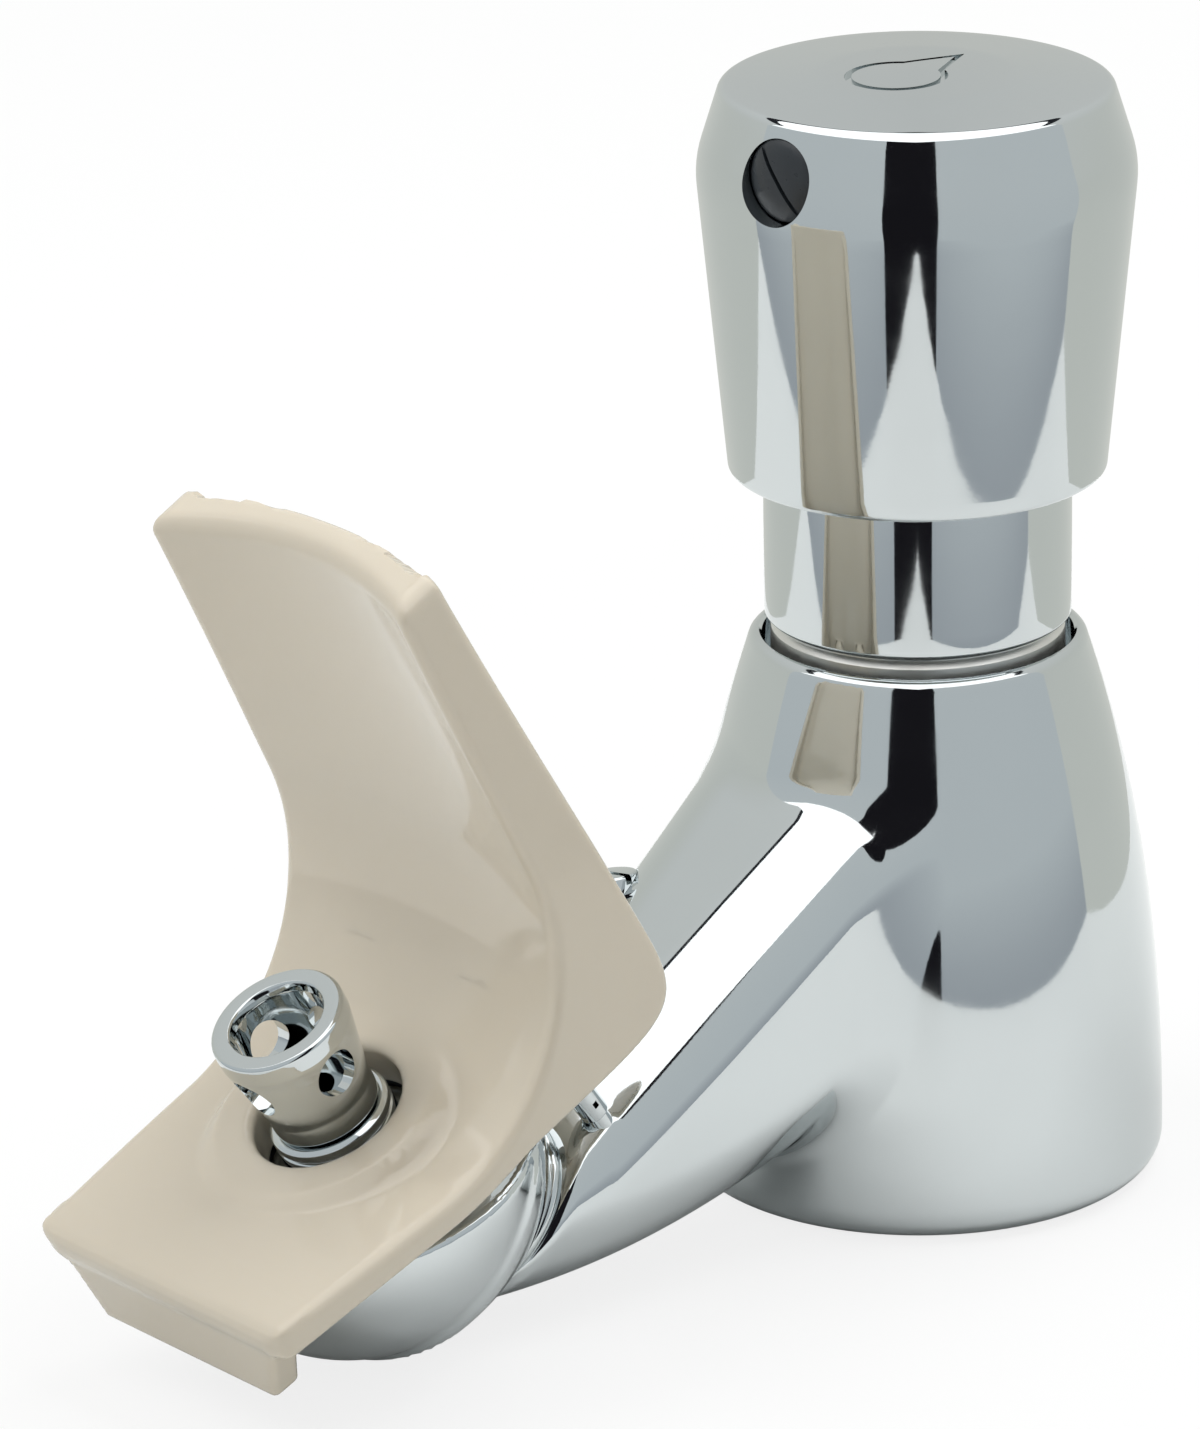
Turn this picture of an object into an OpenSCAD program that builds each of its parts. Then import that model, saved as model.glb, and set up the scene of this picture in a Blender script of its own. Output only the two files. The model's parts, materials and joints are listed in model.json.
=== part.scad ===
/* [Body] */
// Radius of the foot that stands on the deck
foot_r = 27.3; // [24:0.5:32]
// Rounding of the foot's lower edge
foot_edge = 2.2; // [0.5:0.1:3]
// Height of the body from the deck to its mouth
body_h = 62.4; // [58:0.2:70]
// Outer radius of the body at its mouth
mouth_r = 18.4; // [17.9:0.1:20]
// How late the body's side curves in towards the mouth
body_curve = 2.4; // [1.5:0.1:3]
// Radius of the recess round the bonnet at the mouth
mouth_recess_r = 17.2; // [17:0.1:17.6]
// Height of the recess floor above the deck
recess_z = 56; // [54:0.5:57]
// Radius of the threaded bore that takes the valve housing
barrel_bore_r = 14.2; // [13.8:0.1:14.8]

/* [Inlet and valve seat] */
// Bore of the half inch inlet thread in the foot
inlet_d = 19; // [18:0.1:20]
// Height of the web that carries the valve seat
web_z = 30; // [28:0.5:30.5]
// Thickness of that web
web_t = 5; // [4:0.5:5.5]
// Radius of the seat's shank in the web
seat_r = 6.5; // [6:0.1:7]
// Water hole through the seat
seat_hole_r = 4.2; // [3.6:0.1:4.6]
// Outer radius of the deck gasket
gasket_r = 23.5; // [20:0.5:24]
// Inner radius of the deck gasket
gasket_in_r = 15; // [13:0.5:17]
// Thickness of the deck gasket
gasket_t = 2; // [1.5:0.1:2.5]

/* [Arm] */
// Height of the arm's flat top, 33 mm out from the axis
arm_top_z = 40.8; // [39:0.2:43]
// Fall of the arm's top for each millimetre out
arm_fall = 0.72; // [0.65:0.01:0.78]
// Half width of the arm at the body
arm_w = 12.6; // [12:0.1:14]
// Half width of the arm at its seam
arm_end_w = 12; // [11.5:0.1:13]
// Rounding of the arm's two upper edges
arm_corner = 8; // [5:0.2:9]
// Reach of the seam's upper point from the axis
seam_top_y = 58.8; // [57:0.2:60]
// Reach of the seam's lower point from the axis
seam_low_y = 71.4; // [70:0.2:75]
// Lowest height of the arm's underside
arm_low_z = 2.6; // [1:0.1:4]
// Thickness of the seam ring
ring_t = 1.3; // [1:0.1:2]

/* [Push valve] */
// Travel of the push cap
push_travel = 6; // [4:0.5:6]
// Radius of the chrome bonnet sleeve
sleeve_r = 16.9; // [16.6:0.1:17.1]
// Height of the sleeve's lower edge above the deck
sleeve_z = 64; // [63.6:0.1:66]
// Length of the sleeve
sleeve_len = 37.5; // [34:0.5:38]
// Radius of the stem
stem_r = 3.5; // [3:0.1:4]
// Radius of the stem where it passes the seat
stem_neck_r = 2.5; // [2:0.1:3]
// Mean radius of the return spring
spring_r = 9.5; // [9:0.1:10]
// Radius of the spring's wire
spring_wire_r = 0.8; // [0.6:0.1:1]
// Turns of the return spring
spring_turns = 9; // [6:1:12]
// Running clearance of a sliding fit, on the radius
run_gap = 0.05; // [0.02:0.01:0.1]
// Clearance between pieces that are fixed together
fix_gap = 0.05; // [0.02:0.01:0.1]

/* [Push cap] */
// Height of the cap's lower edge above the deck
cap_z = 81.2; // [80:0.2:84]
// Radius of the cap at its lower edge
cap_low_r = 20.7; // [20:0.1:22]
// Radius of the cap at its widest
cap_wide_r = 23.9; // [22:0.1:25]
// Height of the widest line above the cap's lower edge
cap_wide_h = 34.6; // [30:0.2:36]
// Radius of the rim of the cap's top
cap_top_r = 21.3; // [19:0.1:22]
// Height of the top's rim above the cap's lower edge
cap_top_h = 43.2; // [41:0.1:44]
// Rise of the slightly domed top
cap_dome = 1.4; // [0:0.1:2]
// Angle of the plug from the arm's direction
plug_turn = 6; // [-30:0.5:30]
// Radius of the black plug
plug_r = 4.55; // [3.5:0.05:4.7]
// Height of the plug's axis above the cap's lower edge
plug_h = 36.9; // [34:0.1:37.2]

/* [Bubbler head] */
// Radius of the round bowl
bowl_r = 20.2; // [19:0.1:21]
// Reach of the bowl's centre from the axis
bowl_y = 82.6; // [81:0.2:84]
// Height of the bowl's centre
bowl_z = 21.6; // [21:0.2:23]
// Slope of the bowl's flat top
bowl_slope = 15; // [8:0.5:18]
// Tilt of the nozzle's axis away from the body
head_tilt = 28.6; // [24:0.2:30]
// Reach of the nozzle where its axis leaves the guard
nozzle_y = 85; // [84:0.1:86]
// Height of that point
nozzle_z = 29; // [28:0.1:30]
// Height of the nozzle above the guard
nozzle_h = 13.8; // [12:0.1:16]
// Radius of the nozzle at its mouth
nozzle_top_r = 7.5; // [7:0.1:8]
// Radius of the nozzle at its foot
nozzle_low_r = 6; // [5.6:0.1:6.4]
// Radius of the nozzle's bore
nozzle_bore_r = 5.05; // [4.5:0.05:5.2]
// Radius of the four side holes
side_hole_r = 2.55; // [2:0.05:2.8]
// Radius of the collar at the nozzle's foot
collar_r = 7; // [6.6:0.1:8]

/* [Mouth guard] */
// Half width of the guard at its front edge
guard_front_w = 20.2; // [18:0.1:21]
// Half width of the guard at its fold
guard_fold_w = 22.6; // [21:0.1:24]
// Half width of the guard at its top
guard_top_w = 20.7; // [19:0.1:22]
// Reach of the guard's front edge
guard_front_y = 109.1; // [107:0.1:111]
// Height of the guard's front edge
guard_front_z = 16.6; // [16:0.1:18]
// Slope of the plate
plate_slope = 22.3; // [20:0.1:25]
// Slope of the shield, measured the same way
shield_slope = 117.2; // [112:0.2:120]
// Inner radius of the fold
fold_r = 24; // [18:0.5:25]
// Length of the shield above the fold
shield_len = 35.5; // [25:0.5:40]
// Wall of the guard at its front
guard_t = 3; // [2.4:0.1:3.6]
// Wall of the guard at its top edge
guard_top_t = 4; // [3:0.1:5]
// Thickness of the ribs along both edges
rib_t = 2.6; // [2:0.1:3.4]
// How far the shield curves back across its width
shield_sag = 4.6; // [2:0.1:6]
// Rise of the plate's middle round the nozzle
plate_crown = 1.3; // [0:0.1:2]
// Radius of the nozzle's clearance hole
guard_hole_r = 9; // [8.4:0.1:9.6]
// Depth of the lip below the front edge's top
lip_depth = 11.4; // [8:0.1:12]
// Thickness of the lip
lip_t = 3.4; // [2.4:0.1:4]
// Set back of the lip at each end
lip_inset = 2.6; // [2:0.1:5]

/* [Hidden] */

$fn = 72;
chrome = "#c4cace";
brass = "#c2a25a";
rubber = "#26282a";
steel = "#aab0b4";
nylon = "#dcdcd4";
beige = "#c9bea6";

function lerp(a, b, t) = a + (b - a) * t;

// Closes a ring of an even number of points with four sided faces between its two halves
function cap_faces(first, count) =
  let (half = count / 2)
  [for (j = [0 : half - 2])
    let (a = first + j, b = first + j + 1, c = first + count - 2 - j, d = first + count - 1 - j)
    j < (half - 1) / 2 ? [a, b, c, d] : [b, c, d, a]];

function turned(faces) = [for (face = faces) [for (i = [len(face) - 1 : -1 : 0]) face[i]]];

// A closed skin through rings that all have the same number of points
module loft(rings) {
  count = len(rings[0]);
  last = len(rings) - 1;
  walls = [for (i = [0 : last - 1], j = [0 : count - 1])
    let (k = (j + 1) % count)
    [[i * count + j, i * count + k, (i + 1) * count + k],
     [i * count + j, (i + 1) * count + k, (i + 1) * count + j]]];
  sides = [for (pair = walls) for (face = pair) face];
  near = turned(cap_faces(0, count));
  far = cap_faces(last * count, count);
  polyhedron(points = [for (ring = rings) for (p = ring) p], faces = concat(sides, near, far));
}

module tube(r, r_in, z0, z1) {
  translate([0, 0, z0])
    difference() {
      cylinder(r = r, h = z1 - z0);
      translate([0, 0, -1]) cylinder(r = r_in, h = z1 - z0 + 2);
    }
}

module ring_cord(r, cord_r, z) {
  translate([0, 0, z]) rotate_extrude() translate([r, 0]) circle(cord_r, $fn = 24);
}

// Heights of the closed valve, which hangs just clear of the seat's lip
washer_top = web_z - 1 - 0.05;
washer_t = 3;
washer_r = 7;
cup_wall = 1.2;
cup_base_t = 2;
nut_t = 2.6;
cup_low = washer_top - washer_t - 0.02 - cup_base_t;
nut_z = cup_low - 0.02 - nut_t;
stem_low = nut_z - 0.8;

// The strainer stands clear of the stem at full push and the inlet thread ends under it
chamber_r = 8.9;
strainer_t = 1.7;
strainer_z = stem_low - push_travel - 0.5 - strainer_t;
inlet_len = strainer_z - 0.1;

// Body

function side_r(z) = foot_r - (foot_r - mouth_r) * pow(z / body_h, body_curve);

module body_shell() {
  edge = 0.9;
  rotate_extrude()
    polygon(concat(
      [[0, 0]],
      [for (a = [-90 : 15 : 0]) [foot_r - foot_edge + foot_edge * cos(a), foot_edge + foot_edge * sin(a)]],
      [for (z = [6 : 4 : body_h - 4]) [side_r(z), z]],
      [for (a = [0 : 30 : 90]) [side_r(body_h - edge) - edge + edge * cos(a), body_h - edge + edge * sin(a)]],
      [[0, body_h]]
    ));
}

// Arm

seam_top = [-seam_top_y, arm_top_z - arm_fall * (seam_top_y - 33)];
seam_low = [-seam_low_y, arm_low_z + 0.9];
seam_h = norm(seam_top - seam_low);
seam_turn = atan2(seam_low_y - seam_top_y, seam_top[1] - seam_low[1]);
arm_root_y = 19.4;
arm_steps = 22;

function arm_top(y) = arm_top_z + arm_fall * (y + 33);
function arm_low(y) = arm_low_z + 0.0055 * pow(y + 62, 2);
function arm_half(y) = lerp(arm_w, arm_end_w, (-y - arm_root_y) / (seam_top_y - arm_root_y))
  + 1.2 * exp((y + 22) / 1.8);

// Outline of the arm in its own plane: x across, v up from the underside
function arm_outline(w, h) = concat(
  [for (a = [180 : 12 : 360]) [w * cos(a), w + w * sin(a)]],
  [for (a = [0 : 15 : 90]) [w - arm_corner + arm_corner * cos(a), h - arm_corner + arm_corner * sin(a)]],
  [for (a = [90 : 15 : 180]) [arm_corner - w + arm_corner * cos(a), h - arm_corner + arm_corner * sin(a)]]
);

// Lays an outline between a low and a high point of the YZ plane and shrinks it about its middle
function stand(outline, low, high, shrink) =
  let (up = (high - low) / norm(high - low), half = norm(high - low) / 2)
  [for (p = outline)
    let (v = half + (p[1] - half) * shrink)
    [p[0] * shrink, low[0] + up[0] * v, low[1] + up[1] * v]];

function arm_ring(t, shrink) =
  let (
    top_y = -lerp(arm_root_y, seam_top_y, t),
    low_y = -lerp(arm_root_y, seam_low_y, t),
    high = [top_y, arm_top(top_y)],
    low = [low_y, arm_low(low_y)]
  )
  stand(arm_outline(arm_half(top_y), norm(high - low)), low, high, shrink);

// The arm starts inside the body and its end edge is rounded over
module arm() {
  root = arm_ring(0, 1);
  inside = [for (p = root) [p[0] * 0.5, -6, lerp(32, p[2], 0.9)]];
  loft(concat(
    [arm_ring(1, 0.94), arm_ring(0.99, 0.985)],
    [for (i = [arm_steps : -1 : 0]) arm_ring(0.975 * pow(i / arm_steps, 1.3), 1)],
    [inside]
  ));
}

// Frame of the seam: +Z leaves the arm's end towards the bowl, +Y points up along the seam
module at_seam() {
  mid = (seam_top + seam_low) / 2;
  translate([0, mid[0], mid[1]]) rotate([90 - seam_turn, 0, 0]) children();
}

module seam_plate(t, shrink) {
  linear_extrude(t)
    scale([shrink, shrink])
      translate([0, -seam_h / 2])
        polygon(arm_outline(arm_end_w, seam_h));
}

// Water way along the arm, a little to the left of the middle
water_r = 2.6;
water_from = [-11, -8, 39.5];
water_to = [-3, -66, 12.6];
spigot_r = 8.4;
spigot_len = 8;

module rod_between(a, b, r) {
  d = b - a;
  translate(a)
    rotate([0, acos(d[2] / norm(d)), atan2(d[1], d[0])])
      cylinder(r = r, h = norm(d));
}

// Frame of the regulating screw on the arm's far shoulder, +Z out of the arm
module at_regulator() {
  translate([-12, -34.6, 37]) rotate([0, -10, 0]) children();
}

// Frames of the two posts that hold the guard at the back
module at_posts() {
  for (side = [-1, 1])
    translate([side * 9.2, -56, 23.3]) rotate([36, 0, 0]) children();
}

post_r = 1.6;
post_end_r = 1.2;

module body_casting() {
  color(chrome)
    difference() {
      union() {
        body_shell();
        arm();
        at_regulator() translate([0, 0, -14]) cylinder(r = 4.9, h = 12.2);
      }
      translate([0, 0, -1]) cylinder(d = inlet_d, h = inlet_len + 1);
      cylinder(r = chamber_r, h = web_z);
      translate([0, 0, web_z - 1]) cylinder(r = seat_r + fix_gap, h = web_t + 2);
      translate([0, 0, web_z + web_t]) cylinder(r = barrel_bore_r, h = body_h);
      translate([0, 0, recess_z]) cylinder(r = mouth_recess_r, h = body_h);
      translate([0, 0, -1])
        difference() {
          cylinder(r = gasket_r + fix_gap, h = gasket_t + 1);
          cylinder(r = gasket_in_r - fix_gap, h = gasket_t + 1);
        }
      rod_between(water_from, water_to, water_r);
      at_regulator() translate([0, 0, -9]) cylinder(r = 3 + run_gap, h = 12);
      at_regulator() translate([0, 0, -13.5]) cylinder(r = 2.05, h = 6);
      at_seam() translate([0, 0, -spigot_len - 0.5]) cylinder(r = spigot_r + fix_gap, h = 20);
      at_posts() translate([0, 0, -6]) cylinder(r = post_end_r + fix_gap, h = 20);
      at_posts() cylinder(r = post_r + fix_gap, h = 20);
    }
}

module deck_gasket() {
  color(rubber) tube(gasket_r, gasket_in_r, 0, gasket_t);
}

module seam_ring() {
  color(chrome)
    at_seam()
      difference() {
        seam_plate(ring_t, 0.985);
        translate([0, 0, -1]) cylinder(r = spigot_r + fix_gap, h = ring_t + 2);
      }
}

// Inlet and valve seat

module inlet_strainer() {
  r = chamber_r - fix_gap;
  color(steel)
    translate([0, 0, strainer_z]) {
      tube(r, r - 1, 0, strainer_t);
      difference() {
        cylinder(r = r - 0.5, h = 0.8);
        for (ring = [0 : 2], i = [0 : max(0, ring * 6 - 1)])
          rotate([0, 0, i * 60 / max(1, ring)])
            translate([ring * 2.8, 0, -1]) cylinder(r = 0.9, h = 3);
      }
    }
}

// The stem's clip comes down on the seat's flange at the end of the push
clip_z = 43.15;
seat_flange_t = clip_z - push_travel - 0.15 - web_z - web_t;

module valve_seat() {
  lip_r = seat_hole_r + 1.2;
  color(brass)
    difference() {
      union() {
        translate([0, 0, web_z]) cylinder(r = seat_r, h = web_t);
        translate([0, 0, web_z - 1]) cylinder(r = lip_r, h = 2);
        translate([0, 0, web_z + web_t]) cylinder(r = 9, h = seat_flange_t, $fn = 6);
      }
      translate([0, 0, web_z - 2]) cylinder(r = seat_hole_r, h = web_t + seat_flange_t + 3);
    }
}

module seat_washer() {
  color(rubber) tube(washer_r, stem_neck_r + fix_gap, washer_top - washer_t, washer_top);
}

module washer_cup() {
  base = cup_low + cup_base_t;
  color(brass)
    difference() {
      translate([0, 0, cup_low]) cylinder(r = washer_r + fix_gap + cup_wall, h = cup_base_t + 2.4);
      translate([0, 0, base]) cylinder(r = washer_r + fix_gap, h = 5);
      translate([0, 0, base - 10]) cylinder(r = stem_neck_r + fix_gap, h = 20);
    }
}

module stem_nut() {
  color(brass)
    difference() {
      translate([0, 0, nut_z]) cylinder(r = 5, h = nut_t, $fn = 6);
      translate([0, 0, nut_z - 1]) cylinder(r = stem_neck_r + fix_gap, h = nut_t + 2);
    }
}

stem_top = cap_z + cap_top_h - 3.2;
stem_step = web_z + web_t + 1.5;

module stem() {
  color(brass)
    rotate_extrude()
      polygon([
        [0, stem_low], [stem_neck_r - 0.5, stem_low], [stem_neck_r, stem_low + 0.5],
        [stem_neck_r, stem_step], [stem_r, stem_step + 1],
        [stem_r, clip_z - fix_gap], [stem_r - 0.7, clip_z - fix_gap],
        [stem_r - 0.7, clip_z + 0.8 + fix_gap], [stem_r, clip_z + 0.8 + fix_gap],
        [stem_r, stem_top - 0.5], [stem_r - 0.5, stem_top], [0, stem_top]
      ]);
}

// Spring clip that keeps the stem in the housing on the bench
module stem_clip() {
  color(steel)
    translate([0, 0, clip_z])
      difference() {
        cylinder(r = 5.6, h = 0.8);
        translate([0, 0, -1]) cylinder(r = stem_r - 0.7 + 0.02, h = 3);
        translate([-1.6, 0, -1]) cube([3.2, 8, 3]);
      }
}

// Valve housing and what it holds

housing_low = 44;
housing_floor = 60;
housing_top = 82;
bush_r = 7;
bush_low = 50;
flange_r = 16.2;
spring_low = housing_floor + 1.5;
washer2_top = 106;
spring_high = washer2_top - 1.5;

module valve_housing() {
  groove_z = 50;
  color(brass)
    difference() {
      union() {
        translate([0, 0, housing_low]) cylinder(r = barrel_bore_r - fix_gap, h = recess_z - housing_low);
        translate([0, 0, recess_z]) cylinder(r = flange_r, h = sleeve_z - 1 - recess_z);
        translate([0, 0, sleeve_z - 1]) cylinder(r1 = flange_r, r2 = flange_r - 0.9, h = 1);
        translate([0, 0, sleeve_z]) cylinder(r = 14.5, h = housing_top - sleeve_z);
      }
      translate([0, 0, housing_floor]) cylinder(r = 11.8, h = 40);
      translate([0, 0, 46]) cylinder(r = bush_r + fix_gap, h = 20);
      translate([0, 0, 30]) cylinder(r = stem_r + 0.6, h = 30);
      translate([0, 0, groove_z])
        difference() {
          cylinder(r = barrel_bore_r + 2, h = 2.1);
          cylinder(r = barrel_bore_r - 1.8, h = 2.1);
        }
    }
}

module housing_oring() {
  color(rubber) ring_cord(barrel_bore_r - 0.9, 0.86, 51.05);
}

// Lip seal in the housing, with its lips towards the water
module u_cup_seal() {
  color(rubber)
    rotate_extrude()
      polygon([
        [stem_r + run_gap, 46.1], [stem_r + 1, 46.1], [stem_r + 1.4, 47.8], [bush_r - 1.4, 47.8],
        [bush_r - 0.9, 46.1], [bush_r, 46.1], [bush_r, bush_low - 0.05], [stem_r + run_gap, bush_low - 0.05]
      ]);
}

// Guide for the stem, with a flange that seats the spring
module stem_bushing() {
  color(nylon)
    difference() {
      union() {
        translate([0, 0, bush_low]) cylinder(r = bush_r, h = housing_floor - bush_low + 0.5);
        translate([0, 0, housing_floor]) cylinder(r = 11.7, h = spring_low - housing_floor);
      }
      translate([0, 0, bush_low - 1]) cylinder(r = stem_r + run_gap, h = 20);
    }
}

function coil_point(turn, side, z0, pitch) =
  let (
    angle = turn * 360,
    out = spring_r + spring_wire_r * cos(side)
  )
  [out * cos(angle), out * sin(angle), z0 + pitch * turn + spring_wire_r * sin(side)];

module return_spring() {
  z0 = spring_low + spring_wire_r + 0.05;
  pitch = (spring_high - spring_low - 2 * spring_wire_r - 0.1) / spring_turns;
  color(steel)
    loft([for (i = [0 : spring_turns * 18])
      [for (side = [30 : 60 : 330]) coil_point(i / 18, side, z0, pitch)]]);
}

module spring_washer() {
  color(steel) tube(11.4, stem_r + fix_gap, spring_high, washer2_top - 0.02);
}

module bonnet_sleeve() {
  top = sleeve_z + sleeve_len;
  color(chrome)
    rotate_extrude()
      polygon([
        [14.5 + fix_gap, sleeve_z + 0.02], [sleeve_r - 0.6, sleeve_z + 0.02], [sleeve_r, sleeve_z + 0.7],
        [sleeve_r, top - 0.6], [sleeve_r - 0.6, top], [14.5 + fix_gap, top]
      ]);
}

// Push cap

cap_in_r = 18;
cap_inner_top = cap_top_h - 2.6;
cap_boss_r = 7.4;
guide_low = 2.6;
guide_len = 8;

module at_plug() {
  rotate([0, 0, plug_turn])
    translate([0, 0, cap_z + plug_h])
      rotate([90, 0, 0]) children();
}

module cap_solid() {
  edge = 0.9;
  rise = cap_top_h - cap_wide_h;
  chamfer = atan2(rise, cap_wide_r - cap_top_r);
  rotate_extrude()
    polygon(concat(
      [[0, 0], [cap_low_r - 0.9, 0], [cap_low_r - 0.3, 0.2], [cap_low_r, 0.8]],
      [[cap_wide_r - 0.15, cap_wide_h - 1.2], [cap_wide_r, cap_wide_h], [cap_wide_r - 0.3, cap_wide_h + 1.2]],
      [for (a = [90 - chamfer : 13 : 90])
        [cap_top_r - edge * 0.7 + edge * cos(a), cap_top_h - edge + edge * sin(a)]],
      [for (t = [0.75, 0.5, 0.25, 0])
        [cap_top_r * t, cap_top_h + cap_dome * (1 - t * t)]]
    ));
}

module push_cap() {
  color(chrome)
    difference() {
      union() {
        translate([0, 0, cap_z])
          difference() {
            cap_solid();
            translate([0, 0, -1]) cylinder(r = cap_in_r, h = 14);
            translate([0, 0, guide_low]) cylinder(r = cap_in_r + 0.4, h = guide_len);
            translate([0, 0, 12])
              cylinder(r1 = cap_in_r, r2 = cap_wide_r - 2.8, h = cap_wide_h - 11);
            translate([0, 0, cap_wide_h]) cylinder(r = cap_top_r - 2.4, h = cap_inner_top - cap_wide_h);
          }
        translate([0, 0, washer2_top]) cylinder(r = cap_boss_r, h = cap_z + cap_inner_top - washer2_top + 0.5);
        at_plug() translate([0, 0, 4]) cylinder(r = plug_r + 1.3, h = cap_top_r - 4.6);
      }
      translate([0, 0, washer2_top - 1]) cylinder(r = stem_r + fix_gap, h = stem_top - washer2_top + 1.1);
      at_plug() cylinder(r = 2 + fix_gap, h = 30);
      at_plug() translate([0, 0, 17]) cylinder(r = plug_r + fix_gap, h = 20);
    }
}

module cap_guide_ring() {
  color(nylon)
    tube(cap_in_r + 0.4 - fix_gap, sleeve_r + run_gap, cap_z + guide_low + 0.05, cap_z + guide_low + guide_len - 0.05);
}

module cap_set_screw() {
  color(steel)
    at_plug()
      difference() {
        translate([0, 0, stem_r + 0.05]) cylinder(r = 2, h = 8);
        translate([0, 0, stem_r + 5]) cylinder(r = 1.1, h = 8, $fn = 6);
      }
}

// Black screw plug with a domed face and a driver slot
module cap_plug() {
  face = 22.35;
  color(rubber)
    at_plug()
      difference() {
        rotate_extrude()
          polygon(concat(
            [[0, 17.05], [plug_r, 17.05], [plug_r, face - 0.9]],
            [for (t = [0.85, 0.65, 0.4, 0]) [plug_r * t, face - 0.9 * t * t * t]]
          ));
        rotate([0, 0, -53]) translate([-10, -0.35, face - 1]) cube([20, 0.7, 3]);
      }
}

// Regulating screw, with a needle that crosses the water way

module regulator_screw() {
  color(chrome)
    at_regulator()
      difference() {
        rotate_extrude()
          polygon([
            [0, -13], [0.5, -13], [1.9, -9], [1.9, -7], [3, -6.5], [3, -4.2], [2.2, -4.2],
            [2.2, -2.4], [3, -2.4], [3, 1.5], [2.6, 2], [0, 2]
          ]);
        translate([-4, -0.4, 1]) cube([8, 0.8, 3]);
      }
}

module regulator_oring() {
  color(rubber) at_regulator() ring_cord(2.63, 0.38, -3.3);
}

// Bubbler head

// Frame of the nozzle: origin where its axis leaves the guard's plate, +Z along the axis
module at_nozzle() {
  translate([0, -nozzle_y, nozzle_z]) rotate([head_tilt, 0, 0]) children();
}

pedestal_h = -5.6;
pedestal_r = 12.6;
shank_r = 5;

// Half space on the far side of a frame's XY plane, wide enough for the whole head
head_space = 6 * bowl_r;

module half_space(side) {
  translate([0, 0, side * head_space / 2]) cube(head_space, center = true);
}

module bowl_solid() {
  intersection() {
    union() {
      translate([0, -bowl_y, bowl_z]) sphere(r = bowl_r);
      hull() {
        at_seam() translate([0, 0, ring_t]) seam_plate(0.5, 0.96);
        translate([0, -bowl_y, bowl_z])
          rotate([90 - seam_turn, 0, 0])
            translate([0, 0, -bowl_r * 0.55])
              cylinder(r = bowl_r * 0.83, h = 0.5, $fn = 48);
      }
    }
    translate([0, -bowl_y, bowl_z]) rotate([bowl_slope, 0, 0]) half_space(-1);
    at_seam() translate([0, 0, ring_t + 0.02]) half_space(1);
    at_nozzle() translate([0, 0, pedestal_h]) half_space(-1);
  }
}

module head_bowl() {
  color(chrome)
    difference() {
      union() {
        bowl_solid();
        at_seam() translate([0, 0, -spigot_len]) cylinder(r = spigot_r, h = spigot_len + ring_t + 3);
        at_nozzle() translate([0, 0, pedestal_h - 14]) cylinder(r = pedestal_r, h = 14);
      }
      at_nozzle() translate([0, 0, pedestal_h - 19]) cylinder(r = shank_r + fix_gap, h = 40);
      at_seam() translate([0, 0, -spigot_len - 1]) cylinder(r = 4.6, h = 22);
      at_seam()
        translate([0, 0, -spigot_len + 2.4])
          difference() {
            cylinder(r = spigot_r + 2, h = 2.1);
            cylinder(r = spigot_r - 1.75, h = 2.1);
          }
    }
}

module spigot_oring() {
  color(rubber) at_seam() ring_cord(spigot_r - 0.86, 0.86, -spigot_len + 3.45);
}

module bubbler_nozzle() {
  foot = pedestal_h - 12;
  side_z = 8.2;
  color(chrome)
    at_nozzle()
      difference() {
        rotate_extrude()
          polygon([
            [0, foot], [shank_r - 0.5, foot], [shank_r, foot + 0.6], [shank_r, 0.3], [nozzle_low_r, 0.6],
            [nozzle_low_r, 3], [nozzle_top_r - 0.1, nozzle_h - 3], [nozzle_top_r, nozzle_h - 0.4],
            [nozzle_top_r - 0.4, nozzle_h], [0, nozzle_h]
          ]);
        translate([0, 0, foot - 1]) cylinder(r = 2.2, h = 40);
        translate([0, 0, foot - 1]) cylinder(r = 3.4, h = 5);
        translate([0, 0, 3.4]) cylinder(r = nozzle_bore_r, h = 20);
        translate([0, 0, nozzle_h - 0.6]) cylinder(r1 = nozzle_bore_r, r2 = nozzle_bore_r + 0.7, h = 0.7);
        for (turn = [0, 90])
          rotate([0, 0, turn])
            translate([0, 15, side_z]) rotate([90, 0, 0]) cylinder(r = side_hole_r, h = 30);
      }
}

// Grooved collar that locks the nozzle on the head
module nozzle_collar() {
  groove = 0.35;
  color(chrome)
    at_nozzle()
      rotate_extrude()
        polygon([
          [shank_r + fix_gap, pedestal_h + 0.02], [collar_r, pedestal_h + 0.02], [collar_r, -2.2],
          [collar_r - groove, -2], [collar_r - groove, -1.6], [collar_r, -1.4], [collar_r, -0.7],
          [collar_r - 0.5, -0.2], [collar_r - 0.9, -0.2], [collar_r - 0.9, 0.25], [shank_r + fix_gap, 0.25]
        ]);
}

module nozzle_oring() {
  color(rubber) at_nozzle() ring_cord(2.75, 0.6, pedestal_h - 12.65);
}

// Flow control disc that rests on the nozzle's counterbore
module flow_disc() {
  color(nylon)
    at_nozzle()
      difference() {
        translate([0, 0, pedestal_h - 10]) cylinder(r = 3.35, h = 1.9);
        translate([0, 0, pedestal_h - 11]) cylinder(r = 0.9, h = 4);
      }
}

module guard_gasket() {
  color(rubber) at_nozzle() tube(12.4, guard_hole_r + 0.4, pedestal_h + 0.02, pedestal_h + 0.62);
}

// Mouth guard

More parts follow.
